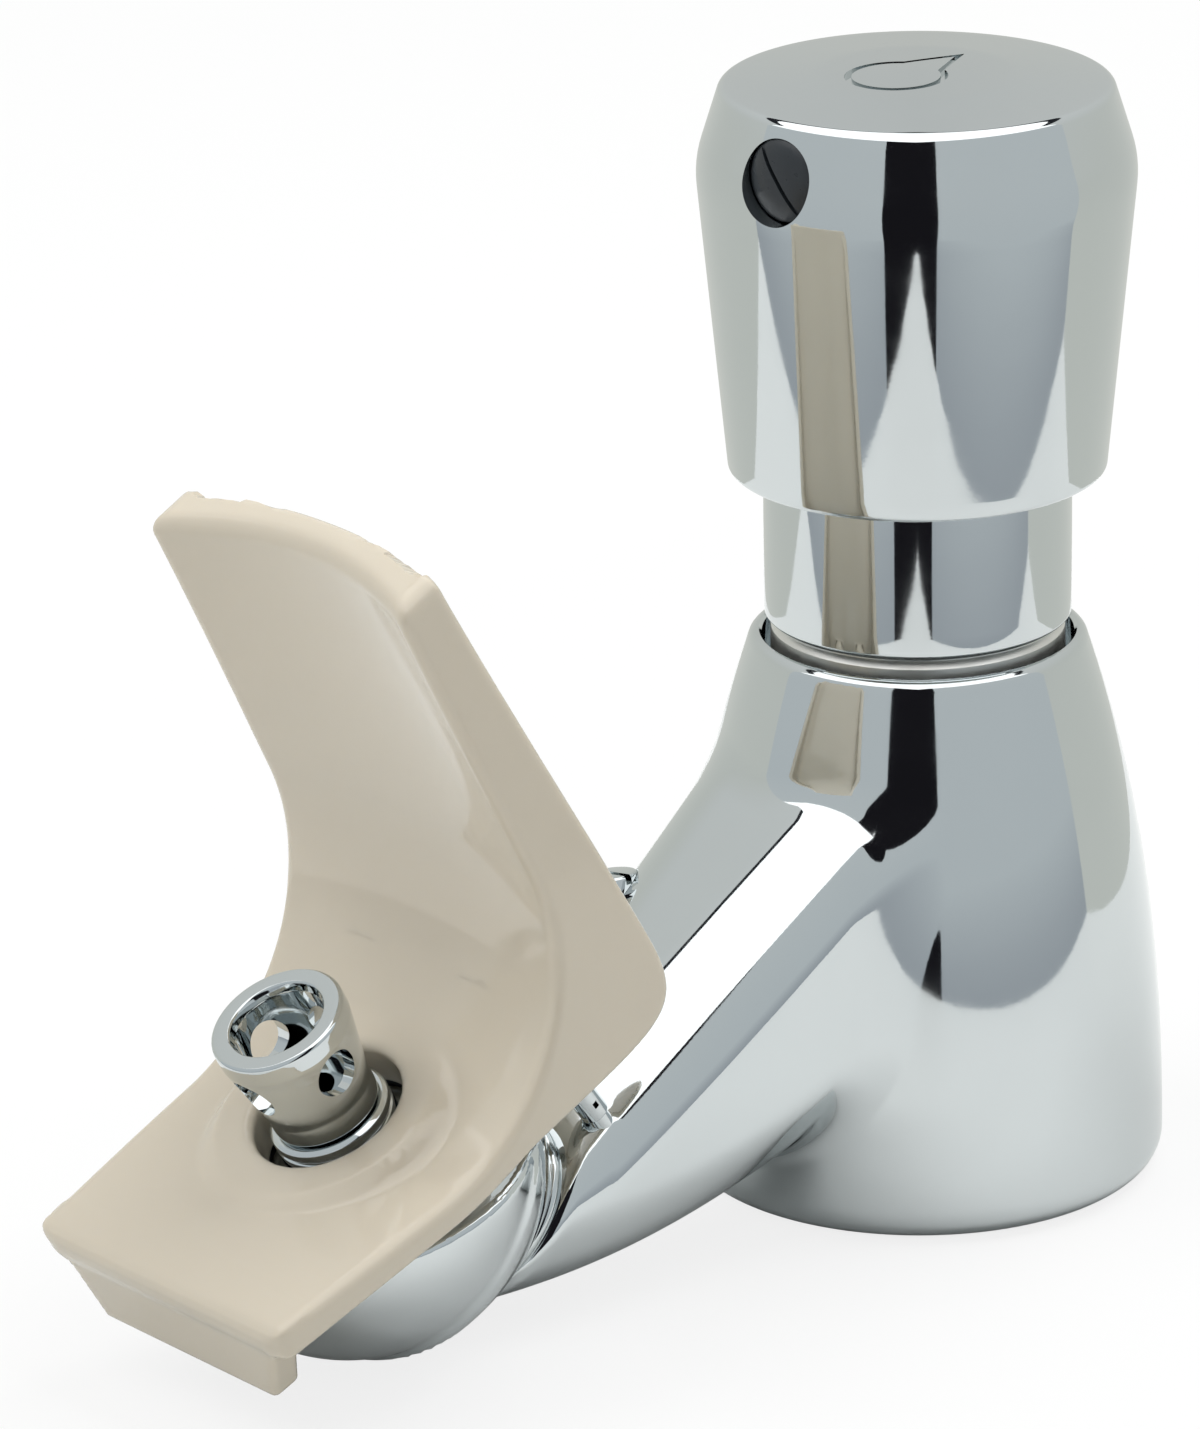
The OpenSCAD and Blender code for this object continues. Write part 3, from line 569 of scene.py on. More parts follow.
def walk_of(y, z):
    """How far along the guard a point of its side view lies, and how far out of its back."""
    turn = np.arctan2(y - GuardWalk.middle[0], GuardWalk.middle[1] - z)
    turn = np.where(turn < -1.5, turn + math.tau, turn)
    out = np.hypot(y - GuardWalk.middle[0], z - GuardWalk.middle[1]) - GuardWalk.fold_radius
    along = GuardWalk.plate + GuardWalk.fold_radius * (turn - GuardWalk.plate_slope)
    for slope, corner_along, before in (
        (GuardWalk.plate_slope, GuardWalk.plate, True),
        (GuardWalk.shield_slope, GuardWalk.plate + GuardWalk.fold, False),
    ):
        corner_y = GuardWalk.middle[0] + GuardWalk.fold_radius * math.sin(slope)
        corner_z = GuardWalk.middle[1] - GuardWalk.fold_radius * math.cos(slope)
        ahead = (y - corner_y) * math.cos(slope) + (z - corner_z) * math.sin(slope)
        back = (y - corner_y) * math.sin(slope) - (z - corner_z) * math.cos(slope)
        flat = turn < slope if before else turn > slope
        along = np.where(flat, corner_along + ahead, along)
        out = np.where(flat, back, out)
    return along, out


def point_at(s, q):
    """The side view's point at that walk and depth."""
    turn = GuardWalk.plate_slope + (s - GuardWalk.plate) / GuardWalk.fold_radius
    turn = np.clip(turn, GuardWalk.plate_slope, GuardWalk.shield_slope)
    ahead = np.minimum(s - GuardWalk.plate, 0) + np.maximum(s - GuardWalk.plate - GuardWalk.fold, 0)
    radius = GuardWalk.fold_radius + q
    y = GuardWalk.middle[0] + radius * np.sin(turn) + ahead * np.cos(turn)
    z = GuardWalk.middle[1] - radius * np.cos(turn) + ahead * np.sin(turn)
    return y, z, turn


def guard_half(s):
    near = GuardWalk.front_width + (GuardWalk.fold_width - GuardWalk.front_width) * np.sin(
        math.pi / 2 * np.clip(s, -5, 38) / 38
    )
    rise = np.sin(math.pi / 2 * np.clip((s - 50) / (GuardWalk.total - 50), 0, 1)) ** 1.3
    return np.where(s < 38, near, GuardWalk.fold_width + (GuardWalk.top_width - GuardWalk.fold_width) * rise)


def guard_bow(s):
    share = np.clip((s - GuardWalk.plate) / (GuardWalk.total - GuardWalk.plate), 0, 1)
    eased = share**2 / (share + 0.12) * 1.12
    near = -GuardWalk.crown * np.sin(math.pi / 2 * np.clip(s / GuardWalk.plate, 0, 1))
    return np.where(s < GuardWalk.plate, near, -GuardWalk.crown + (GuardWalk.sag + GuardWalk.crown) * eased)


def rib_depth(s):
    """Depth of the guard's side ribs, up to the two flats of its outer side."""
    y, z, turn = point_at(s, 0)
    depths = []
    for slope, point in GuardWalk.flats:
        facing = math.sin(slope) * np.sin(turn) + math.cos(slope) * np.cos(turn)
        gap = math.sin(slope) * (point[0] - y) - math.cos(slope) * (point[1] - z)
        depths.append(np.where(facing < 0.12, 60, gap / np.maximum(facing, 0.12)))
    k = GuardWalk.corner
    return -k * np.log(np.exp(-depths[0] / k) + np.exp(-depths[1] / k))


def guard_wall(s):
    return GuardWalk.wall + (GuardWalk.top_wall - GuardWalk.wall) * np.clip(s / GuardWalk.total, 0, 1) ** 2


def guard_distance(points, sizes):
    edge = sizes["guard_edge"]
    s, q = walk_of(points[:, 1], points[:, 2])
    across = np.abs(points[:, 0])
    half = guard_half(s)
    curve = guard_bow(s) * (1 - (across / half) ** 2)
    wall = guard_wall(s)
    inner = curve - q
    side = across - half
    rib_side = half - GuardWalk.rib
    deep = np.maximum(rib_depth(s), wall + guard_bow(s) * (1 - (rib_side / half) ** 2) - 0.8)
    rib = np.maximum(q - deep, rib_side - across)
    # Towards the guard's top the wall thickens out to the ribs and takes them in
    top = np.clip((s - GuardWalk.total) / 24 + 1, 0, 1)
    thicker = top * np.maximum(deep - wall, 0) * np.clip(across / half, 0, 1) ** 2
    outer = round_join(q - curve - wall - thicker, rib, 1.2 - 1.15 * top)
    face = round_cut(round_cut(inner, side, edge), GuardWalk.front_edge - s, edge)
    face = round_cut(face, s - GuardWalk.total, 1.9)
    solid = round_cut(face, outer, 0.9)

    lip_s = np.abs(s - GuardWalk.lip_place) - GuardWalk.lip_half
    lip_x = across - np.interp(q, GuardWalk.lip_depths, GuardWalk.lip_widths)
    lip = round_cut(round_cut(lip_s, lip_x, 0.9), q - GuardWalk.lip_depth, 1.1)
    solid = round_join(solid, np.maximum(lip, 1 - q), 1.6)

    nozzle = in_frame(points, Place.nozzle)
    reach = np.hypot(nozzle[:, 0], nozzle[:, 1])
    seat = round_cut(reach - GuardWalk.seat_radius, Place.pedestal + 0.64 - nozzle[:, 2], 0.4)
    solid = round_join(solid, np.maximum(seat, nozzle[:, 2]), 1)
    ring = round_cut(reach - GuardWalk.ring_radius, nozzle[:, 2] - GuardWalk.ring_height, 1.2)
    solid = round_join(solid, np.maximum(ring, -3 - nozzle[:, 2]), 1.8)
    for turn in (-1, 1):
        local = in_frame(points, Place.post(turn))
        round_side = np.hypot(local[:, 0], local[:, 1]) - GuardWalk.boss_radius
        boss = round_cut(round_side, GuardWalk.boss_low - local[:, 2], 0.5)
        boss = np.maximum(boss, local[:, 2] - GuardWalk.boss_high)
        solid = round_join(solid, np.maximum(boss, inner + 2.2), 1.4)
    return round_cut(solid, GuardWalk.hole - reach, GuardWalk.hole_edge)


def guard_skin():
    """A plain skin through the guard, for the moulded one to start from."""
    rings = []
    for s in np.linspace(0.5, GuardWalk.total - 0.5, 40):
        half, bow, wall, deep = (float(f(s)) for f in (guard_half, guard_bow, guard_wall, rib_depth))
        inside = half - GuardWalk.rib
        deep = max(deep, wall + bow * (1 - (inside / half) ** 2) + 0.4)
        ring = [(x, bow * (1 - (x / half) ** 2)) for x in np.linspace(-half, half, 17)]
        ring += [(half, deep), (inside, deep)]
        ring += [(x, wall + bow * (1 - (x / half) ** 2)) for x in np.linspace(inside, -inside, 15)]
        ring += [(-inside, deep), (-half, deep)]
        places = [(x, *point_at(s, q)[:2]) for x, q in ring]
        rings.append([tuple(float(c) for c in p) for p in places])
    return lofted(rings)


# Materials


def add_node(tree, kind, inputs=None, **settings):
    """Adds a node with its settings, and sets or links its inputs."""
    new = tree.nodes.new(kind)
    for name, value in settings.items():
        setattr(new, name, value)
    for socket, value in (inputs or {}).items():
        if isinstance(value, bpy.types.NodeSocket):
            tree.links.new(value, new.inputs[socket])
        else:
            new.inputs[socket].default_value = value
    return new


def new_material(name):
    """An empty material with its tree, its shader and the coordinates of the object's own frame."""
    material = bpy.data.materials.new(name)
    material.use_nodes = True
    tree = material.node_tree
    shader = tree.nodes["Principled BSDF"]
    place = add_node(tree, "ShaderNodeTexCoord").outputs["Object"]
    return material, tree, shader, place


def finished(name, base, dimmed, cloud, gloss, limits, relief, rings=0, stretch=None, **values):
    """A material whose colour, gloss and relief follow noise, or the one that was made before.

    cloud, gloss and the rows of relief start with a noise: its size in mm, detail and roughness. The
    colour runs from base to dimmed times base. limits are two levels of the gloss noise and the
    roughness at each. Each row of relief ends with its depth in mm. rings is the depth of turning marks.
    """
    if name in bpy.data.materials:
        return bpy.data.materials[name]
    material, tree, shader, place = new_material(name)
    if stretch:
        place = add_node(tree, "ShaderNodeMapping", {"Vector": place, "Scale": stretch}).outputs["Vector"]
    noises = []
    for size, detail, roughness in (cloud, gloss, *[row[:3] for row in relief]):
        inputs = {"Vector": place, "Scale": 1 / (size * MM), "Detail": detail, "Roughness": roughness}
        noises.append(add_node(tree, "ShaderNodeTexNoise", inputs).outputs["Fac"])
    shades = {"Factor": noises[0], "A": (*base, 1), "B": (*[c * dimmed for c in base], 1)}
    mix = add_node(tree, "ShaderNodeMix", shades, data_type="RGBA")
    tree.links.new(mix.outputs["Result"], shader.inputs["Base Color"])
    inputs = dict(zip(("From Min", "From Max", "To Min", "To Max"), limits), Value=noises[1])
    blur = add_node(tree, "ShaderNodeMapRange", inputs)
    tree.links.new(blur.outputs["Result"], shader.inputs["Roughness"])
    heights = [(height, row[3]) for height, row in zip(noises[2:], relief)]
    if rings:
        # Feed marks are about 0.12 mm apart and are drawn at 0.3 mm
        inputs = {"Vector": place, "Scale": 1 / (20 * 0.3 * MM), "Distortion": 0.1}
        wave = add_node(tree, "ShaderNodeTexWave", inputs, wave_type="BANDS", bands_direction="Z")
        heights.append((wave.outputs["Fac"], rings))
    normal = None
    for height, depth in heights:
        inputs = {"Height": height, "Strength": 1.0, "Distance": depth * MM}
        if normal:
            inputs["Normal"] = normal
        normal = add_node(tree, "ShaderNodeBump", inputs).outputs["Normal"]
    if normal:
        tree.links.new(normal, shader.inputs["Normal"])
    for socket, value in values.items():
        shader.inputs[socket.replace("_", " ")].default_value = value
    return material


def finish_colour(name):
    return tuple(getattr(bpy.context.scene.bubbler_finish, name))


def chrome_plate():
    """Bright chrome over buffed brass: mirror reflections that swim a little and faint wiping smears."""
    smear = (9, 5, 0.6)
    relief = ((7, 1, 0.4, 0.012), (0.5, 2, 0.5, 0.0006))
    limits = (0.35, 0.75, 0.03, 0.075)
    return finished(
        "polished_chrome_plate", finish_colour("chrome"), 0.965, smear, smear, limits, relief, Metallic=1
    )


def moulded_plastic():
    """Injection moulded beige plastic: an even colour, soft gloss and a faint orange peel."""
    relief = ((11, 1, 0.5, 0.02), (0.9, 1, 0.5, 0.0022))
    return finished(
        "moulded_beige_plastic", finish_colour("guard"), 0.965, (14, 3, 0.5), (5, 4, 0.5),
        (0.3, 0.75, 0.06, 0.1), relief, IOR=1.49, Subsurface_Weight=0.12,
        Subsurface_Radius=(1, 0.8, 0.55), Subsurface_Scale=1.2 * MM,
    )


def plug_plastic():
    """Black acetal plug: satin face with fine tool marks."""
    return finished(
        "black_acetal", finish_colour("plug"), 1.35, (1.5, 3, 0.5), (0.8, 4, 0.5),
        (0.3, 0.7, 0.26, 0.42), ((0.35, 2, 0.5, 0.004),), IOR=1.48,
    )


def turned_brass():
    """Free machining brass as it leaves the lathe: fine rings and slight tarnish."""
    return finished(
        "turned_brass", finish_colour("brass"), 0.8, (5, 4, 0.5), (2, 4, 0.5),
        (0.3, 0.7, 0.18, 0.34), (), rings=0.004, Metallic=1,
    )


def nickel_plate():
    """Nickel plated brass of the valve housing: pale warm metal with turning marks under the plate."""
    return finished(
        "nickel_plated_brass", finish_colour("nickel"), 0.95, (4, 4, 0.5), (2, 4, 0.5),
        (0.3, 0.7, 0.34, 0.44), (), rings=0.001, Metallic=1,
    )


def black_rubber():
    """Moulded nitrile rubber: nearly black, dull, with a light bloom."""
    return finished(
        "black_nitrile_rubber", finish_colour("rubber"), 1.8, (3, 5, 0.5), (1, 4, 0.5),
        (0.3, 0.7, 0.5, 0.72), ((0.3, 3, 0.5, 0.006),), IOR=1.52,
    )


def stainless_steel():
    """Drawn and pressed stainless steel: grey, softly blurred reflections with fine streaks."""
    grain = (0.4, 3, 0.5)
    return finished(
        "drawn_stainless_steel", finish_colour("steel"), 0.85, grain, grain,
        (0.3, 0.7, 0.2, 0.36), ((*grain, 0.003),), stretch=(1, 1, 0.15), Metallic=1,
    )


def natural_nylon():
    """Turned natural nylon: milky, slightly see-through at the edges and dull."""
    return finished(
        "natural_nylon", finish_colour("nylon"), 0.93, (4, 3, 0.5), (1.2, 3, 0.5),
        (0.3, 0.7, 0.34, 0.5), ((0.4, 2, 0.5, 0.005),), IOR=1.53, Subsurface_Weight=0.3,
        Subsurface_Scale=1.5 * MM,
    )


def dress(material, *nodes):
    """Gives carried-over CAD nodes their material."""
    for name in nodes:
        mesh = frame["nodes"][name].data
        mesh.materials.clear()
        mesh.materials.append(material)


# Operators


def all_sizes(context):
    """The panel's sizes in millimetres."""
    props = context.scene.bubbler_sizes
    return {name: getattr(props, name) / MM for name in BubblerSizes.__annotations__}


def need(test, message):
    if not test:
        raise RuntimeError(message)


class BUBBLER_OT_casting(bpy.types.Operator):
    """Body and arm, one chrome plated casting with a fillet between them"""

    bl_idname = "bubbler.casting"
    bl_label = "Body casting"

    def rough(self, sizes):
        """Plain solids of body, arm and boss, for the casting to start from."""
        foot, mouth, height = sizes["foot_radius"], sizes["mouth_radius"], sizes["body_height"]
        bell = line((0, 0), (foot, 0), (foot - 1, 25), (foot - 4, 45), (mouth, height), (0, height))
        body = scratch(spun(bell))
        rings = []
        for t in (-0.3, -0.1, 0.1, 0.3, 0.5, 0.7, 0.85, 0.985):
            low_y, low_z, high_y, high_z = arm_section(t, sizes)
            tall = math.hypot(high_y - low_y, high_z - low_z)
            up = ((high_y - low_y) / tall, (high_z - low_z) / tall)
            outline = outline_points(sizes["arm_end_half_width"], tall, 8, 8, 12)
            rings.append([(x, low_y + up[0] * v, low_z + up[1] * v) for x, v in outline])
        combine(body, scratch(lofted(rings)), "UNION")
        boss = cylinder(Place.boss_radius, Place.boss_low, Place.boss_top)
        combine(body, scratch(boss, Place.regulator), "UNION")
        return body

    def bore(self, body, height):
        """Cuts the recess, the chamber, the inlet and the bores of what is fixed on."""
        recess, radius = Place.recess, Place.recess_radius
        mouth = line(
            (0, recess), (radius, recess), (radius, height - 0.35), (radius + 0.35, height + 0.02),
            (radius + 0.4, height + 2), (0, height + 2),
        )
        combine(body, scratch(spun(mouth, 256)))
        drill(body, Place.barrel_radius, Place.barrel_floor, recess + 1)
        drill(body, Place.seat_radius, Place.web - 1, Place.barrel_floor + 1)
        drill(body, Place.chamber_radius, Place.chamber, Place.web)
        inlet, deep = Place.inlet_radius, Place.inlet_depth
        thread = line((0, -1), (inlet + 1, -1), (inlet + 1, 0), (inlet, 1), (inlet, deep), (0, deep))
        combine(body, scratch(spun(thread, 96)))
        inner, outer, deep = Place.gasket_inner, Place.gasket_outer, Place.gasket_depth
        groove = line((inner, -1), (outer, -1), (outer, deep), (inner, deep), (inner, -1))
        combine(body, scratch(spun(groove, 128)))
        drill(body, Place.regulator_bore, -9, 5, Place.regulator)
        drill(body, Place.spigot_bore, -8.5, 5, Place.seam)
        for side in (-1, 1):
            drill(body, 1.65, 0, 12, Place.post(side))

    def execute(self, context):
        sizes = all_sizes(context)
        body = self.rough(sizes)
        mould(body, 0.5, 6, lambda points: casting_distance(points, sizes))
        self.bore(body, sizes["body_height"])
        need(len(body.data.vertices) > 20000, "the casting lost its skin")
        present(body, "body_and_arm", "base", chrome_plate(), ["body_casting"])
        return {"FINISHED"}


class BUBBLER_OT_head(bpy.types.Operator):
    """Round bowl that carries the nozzle, with the bead of its seam"""

    bl_idname = "bubbler.head"
    bl_label = "Head and seam"

    # Height in the bead's thickness, and its share of the seam's outline there
    bead_steps = (
        (0, 0.93), (0.1, 0.956), (0.3, 0.974), (0.5, 0.982), (0.65, 0.984), (0.8, 0.982), (1, 0.974),
        (1.2, 0.956), (1.3, 0.93),
    )

    def add_pedestal(self, bowl):
        pedestal = cylinder(Place.pedestal_radius, -20, Place.pedestal)
        combine(bowl, scratch(pedestal, Place.nozzle), "UNION")

    def rough(self, sizes):
        """Plain solids of ball, neck and pedestal, for the bowl to start from."""
        radius = sizes["bowl_radius"]
        angles = np.linspace(0, math.pi, 33)
        half_turn = line(*[(radius * math.sin(a), -radius * math.cos(a)) for a in angles])
        bowl = scratch(spun(half_turn, 64), Matrix.Translation(Place.bowl_centre))
        far = Place.seam.inverted() @ Place.bowl_centre - Vector((0, 0, 0.55 * radius))
        near = outline_points(11.4, 0.96 * Place.seam_height, 7.6, 7.6, 11)
        wide = outline_points(0.83 * radius, 1.66 * radius, 0.83 * radius - 0.01, 0.83 * radius, 20)
        rings = [
            [(x, v - 0.48 * Place.seam_height, 1.2) for x, v in near],
            [(x, v - 0.83 * radius + far.y, far.z) for x, v in wide],
        ]
        combine(bowl, scratch(lofted(rings), Place.seam), "UNION")
        above = Matrix.Translation(Place.bowl_centre) @ Matrix.Rotation(Place.bowl_slope, 4, "X")
        self.add_pedestal(bowl)
        combine(bowl, scratch(block((90, 90, 40), (0, 0, 20)), above))
        self.add_pedestal(bowl)
        return bowl

    def execute(self, context):
        sizes = all_sizes(context)
        bowl = self.rough(sizes)
        mould(bowl, 0.5, 4, lambda points: bowl_distance(points, sizes))
        drill(bowl, Place.shank_bore, -30, 5, Place.nozzle)
        drill(bowl, 4.6, 0, 12, Place.seam)
        present(bowl, "round_bowl", "base", chrome_plate(), ["head_bowl"])

        rings = []
        outline = outline_points(12, Place.seam_height, sizes["arm_end_corner"], 15, 12, 16)
        for z, share in self.bead_steps:
            rings.append([(x * share, (v - Place.seam_height / 2) * share, z) for x, v in outline])
        bead = scratch(lofted(rings))
        drill(bead, Place.spigot_bore, -1, 3)
        bead.data.transform(Place.seam)
        present(bead, "seam_bead", "base", chrome_plate(), ["seam_ring"], 50)
        return {"FINISHED"}


class BUBBLER_OT_guard(bpy.types.Operator):
    """Moulded mouth guard with its ribs, lip and raised ring, and the two slotted posts behind it"""

    bl_idname = "bubbler.guard"
    bl_label = "Mouth guard and posts"

    # A post's outline from the end in the casting: (radius, height, rounding)
    post_outline = (
        (0, -5.8, 0), (1.2, -5.8, 0), (1.2, 0, 0), (1.6, 0, 0.15), (1.6, 11.35, 0.2),
        (1.2, 11.35, 0), (1.2, 16.4, 0.2), (0, 16.4, 0),
    )

    def execute(self, context):
        sizes = all_sizes(context)
        guard = scratch(guard_skin())
        tilt = Matrix.Translation((0, *GuardWalk.front)) @ Matrix.Rotation(GuardWalk.plate_slope, 4, "X")
        combine(guard, scratch(block((34, 3.2, 11), (0, 2.2, -5.6)), tilt), "UNION")
        seat = cylinder(GuardWalk.seat_radius, Place.pedestal + 0.7, 0.3)
        combine(guard, scratch(seat, Place.nozzle), "UNION")
        for side in (-1, 1):
            combine(guard, scratch(cylinder(3.5, 11.5, 22), Place.post(side)), "UNION")
        drill(guard, GuardWalk.hole, -20, 20, Place.nozzle, 128)
        mould(guard, 0.5, 3, lambda points: guard_distance(points, sizes))
        for side in (-1, 1):
            drill(guard, 1.25, 5, 17, Place.post(side))
        plastic = moulded_plastic()
        present(guard, "moulded_mouth_guard", "base", plastic, ["mouth_guard"], 40)

        for side, name in ((-1, "left"), (1, "right")):
            post = scratch(spun(rounded(self.post_outline, 3), 48))
            combine(post, scratch(block((8, 0.6, 0.8), (0, 0, 2))))
            post.data.transform(Place.post(side))
            nodes = ["guard_posts"] if side == 1 else []
            present(post, name + "_post", "base", chrome_plate(), nodes)
        dress(black_rubber(), "guard_gasket")
        return {"FINISHED"}


class BUBBLER_OT_nozzle(bpy.types.Operator):
    """Nozzle with four side holes and its grooved collar"""

    bl_idname = "bubbler.nozzle"
    bl_label = "Nozzle and collar"

    # Outlines are (radius, height, rounding) from the guard's surface up
    collar_outline = (
        (5.05, -5.58, 0), (6.8, -5.58, 0.3), (6.8, -1.5, 0.12), (6.45, -1.35, 0.1), (6.45, -1, 0.1),
        (6.8, -0.85, 0.12), (6.8, -0.1, 0.25), (6.3, 0.25, 0.1), (5.05, 0.25, 0), (5.05, -5.58, 0),
    )
    side_hole_height = 8.2

    def execute(self, context):
        sizes = all_sizes(context)
        bore, hole = sizes["nozzle_bore"], sizes["side_hole"]
        inner, low, foot, top = 2.2, -17.6, 3.4, 13.8
        outline = (
            (inner, low, 0), (5, low, 0.4), (5, 0.35, 0.2), (6, 0.6, 0.3), (6, 3, 3), (7.5, 11.6, 3),
            (7.5, top, 0.45), (bore + 0.35, top, 0.3), (bore, top - 1, 0.5), (bore, foot, 0.5),
            (inner, foot, 0), (inner, low, 0),
        )
        nozzle = scratch(spun(refined(rounded(outline), 0.5), 192))
        half = ((hole, 6.6, 0.5), (hole + 0.5, 7.6, 0), (hole + 0.5, 9, 0), (0, 9, 0))
        rod = [(radius, -z, rounding) for radius, z, rounding in reversed(half)] + list(half)
        for turn in (0, math.pi / 2):
            across = Matrix.Rotation(turn, 4, "Z") @ Matrix.Rotation(math.pi / 2, 4, "X")
            across = Matrix.Translation((0, 0, self.side_hole_height)) @ across
            combine(nozzle, scratch(spun(rounded(rod, 4), 64), across))
        nozzle.data.transform(Place.nozzle)
        present(nozzle, "side_hole_nozzle", "base", chrome_plate(), ["bubbler_nozzle"], 32)

        collar = scratch(spun(rounded(self.collar_outline, 4), 128), Place.nozzle)
        present(collar, "grooved_collar", "base", chrome_plate(), ["nozzle_collar"])
        dress(black_rubber(), "nozzle_oring", "spigot_oring")
        dress(natural_nylon(), "flow_disc")
        return {"FINISHED"}


def wound(radius, wire, turns, low, high, steps=36):
    """A round wire wound upwards between two heights."""
    bm = bmesh.new()
    start = Matrix.Translation((radius, 0, low + wire)) @ Matrix.Rotation(math.pi / 2, 4, "X")
    bmesh.ops.create_circle(bm, segments=16, radius=wire, matrix=start)
    rise = (high - low - 2 * wire) / (turns * steps)
    bmesh.ops.spin(
        bm, geom=bm.verts[:] + bm.edges[:], cent=(0, 0, 0), axis=(0, 0, 1), dvec=(0, 0, rise),
        angle=turns * math.tau, steps=turns * steps, use_duplicate=False,
    )
    bmesh.ops.holes_fill(bm, edges=[edge for edge in bm.edges if edge.is_boundary], sides=0)
    bmesh.ops.recalc_face_normals(bm, faces=bm.faces)
    return bm


class BUBBLER_OT_bonnet(bpy.types.Operator):
    """Sleeve that stands in the body's mouth, and the spring and valve inside"""

    bl_idname = "bubbler.bonnet"
    bl_label = "Bonnet"

    def execute(self, context):
        inner, outer, low, high = 14.55, 16.9, 64.02, 101.5
        outline = (
            (inner, low, 0), (outer - 0.6, low, 0), (outer, 64.7, 0.4), (outer, high, 0.4),
            (inner, high, 0.3), (inner, low, 0),
        )
        sleeve = scratch(spun(refined(rounded(outline, 4), 2), 192))
        present(sleeve, "bonnet_sleeve_tube", "base", chrome_plate(), ["bonnet_sleeve"])

        low, high = box_mm("return_spring")
        coil = wound(Place.spring_radius, Place.spring_wire, Place.spring_turns, low.z, high.z)
        spring = scratch(coil)
        present(spring, "coil_spring", "base", stainless_steel(), ["return_spring"])
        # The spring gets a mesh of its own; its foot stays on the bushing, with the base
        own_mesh(spring)
        dress(turned_brass(), "valve_seat", "washer_cup", "stem_nut", "stem")
        dress(nickel_plate(), "valve_housing")
        dress(black_rubber(), "deck_gasket", "seat_washer", "u_cup_seal", "housing_oring")
        dress(natural_nylon(), "stem_bushing", "cap_guide_ring")
        dress(stainless_steel(), "inlet_strainer", "stem_clip", "spring_washer", "cap_set_screw")
        return {"FINISHED"}


def drop_mark(line_width, radius=5.2, tip=2.1, depth=4):
    """A plain water drop, drawn as a closed band of that width, for engraving."""
    bm = bmesh.new()
    loops = []
    for z in (0, depth):
        for reach in (radius + line_width / 2, radius - line_width / 2):
            ring = [bm.verts.new((0, reach * tip, z))]
            for k in range(61):
                a = math.radians(60 - 5 * k)
                ring.append(bm.verts.new((reach * math.cos(a), reach * math.sin(a), z)))
            loops.append([bm.edges.new(pair) for pair in zip(ring, ring[1:] + ring[:1])])
    for a, b in ((0, 1), (1, 3), (3, 2), (2, 0)):
        bmesh.ops.bridge_loops(bm, edges=loops[a] + loops[b])
    bmesh.ops.remove_doubles(bm, verts=bm.verts, dist=1e-5)
    bmesh.ops.recalc_face_normals(bm, faces=bm.faces)
    return bm


class BUBBLER_OT_cap(bpy.types.Operator):
    """Push cap with its engraved drop mark and the black plug over its set screw"""

    bl_idname = "bubbler.cap"
    bl_label = "Push cap and plug"

    wall, roof, inner_radius, dome = 2.4, 2.6, 18, 1.4
    boss_radius, boss_bore, boss_low = 7.4, 3.6, 24.8
    # The plug's places are distances from the cap's axis
    plug_inner, plug_side, plug_face, plug_dome = 17.05, 21.5, 22.6, 0.85
    slot_width, slot_turn = 0.5, math.radians(-53)

    def shell(self, sizes):
        """The cap with its plug's well, its boss and its mark."""
        low, wide, rim = sizes["cap_low_radius"], sizes["cap_wide_radius"], sizes["cap_rim_radius"]
        wide_z, rim_z = sizes["cap_wide_height"], sizes["cap_rim_height"]
        inner, bore, roof = self.inner_radius, rim - self.wall, rim_z - self.roof
        outline = (
            (inner, 0, 0), (low, 0, 0.7), (wide + 0.12, wide_z, 12), (rim, rim_z, 1.1),
            (rim * 0.5, rim_z + 1.05, 30), (0, rim_z + self.dome, 0), (0, roof, 0), (bore, roof, 0.5),
            (bore, wide_z, 0.5), (wide - 2.8, wide_z, 0.5), (inner, 12, 0), (inner, 0, 0),
        )
        cap_frame = Matrix.Translation((0, 0, Place.cap_low))
        cap = scratch(spun(refined(rounded(outline, 6), 1.5), 256), cap_frame)
        drill(cap, Place.plug_radius + 0.08, 15, 30, Place.plug, 96)
        hole, hub, floor, high = self.boss_bore, self.boss_radius, self.boss_low, rim_z - 2
        boss = ((hole, floor, 0), (hub, floor, 0.3), (hub, high, 0), (hole, high, 0), (hole, floor, 0))
        combine(cap, scratch(spun(rounded(boss), 64), cap_frame), "UNION")
        above = cap_frame @ Matrix.Translation((0, -3, rim_z + 0.7))
        mark = drop_mark(sizes["mark_line"])
        combine(cap, scratch(mark, above @ Matrix.Rotation(math.radians(8), 4, "Z")))
        return cap

    def execute(self, context):
        cap = self.shell(all_sizes(context))
        present(cap, "push_cap_shell", "push", chrome_plate(), ["push_cap"], 30)

        radius = Place.plug_radius
        shares = (0.93, 0.85, 0.75, 0.65, 0.5, 0.35, 0.2, 0.1, 0)
        face = [(radius * t, self.plug_face - self.plug_dome * t**3) for t in shares]
        side = self.plug_side
        edge = [(0, self.plug_inner), (radius, self.plug_inner), (radius, side), (radius - 0.06, side + 0.22)]
        plug = scratch(spun(line(*edge, *face), 96))
        slot = block((20, self.slot_width, 3), (0, 0, self.plug_face + 0.75))
        combine(plug, scratch(slot, Matrix.Rotation(self.slot_turn, 4, "Z")))
        plug.data.transform(Place.plug)
        present(plug, "slotted_plug", "push", plug_plastic(), ["cap_plug"])
        return {"FINISHED"}


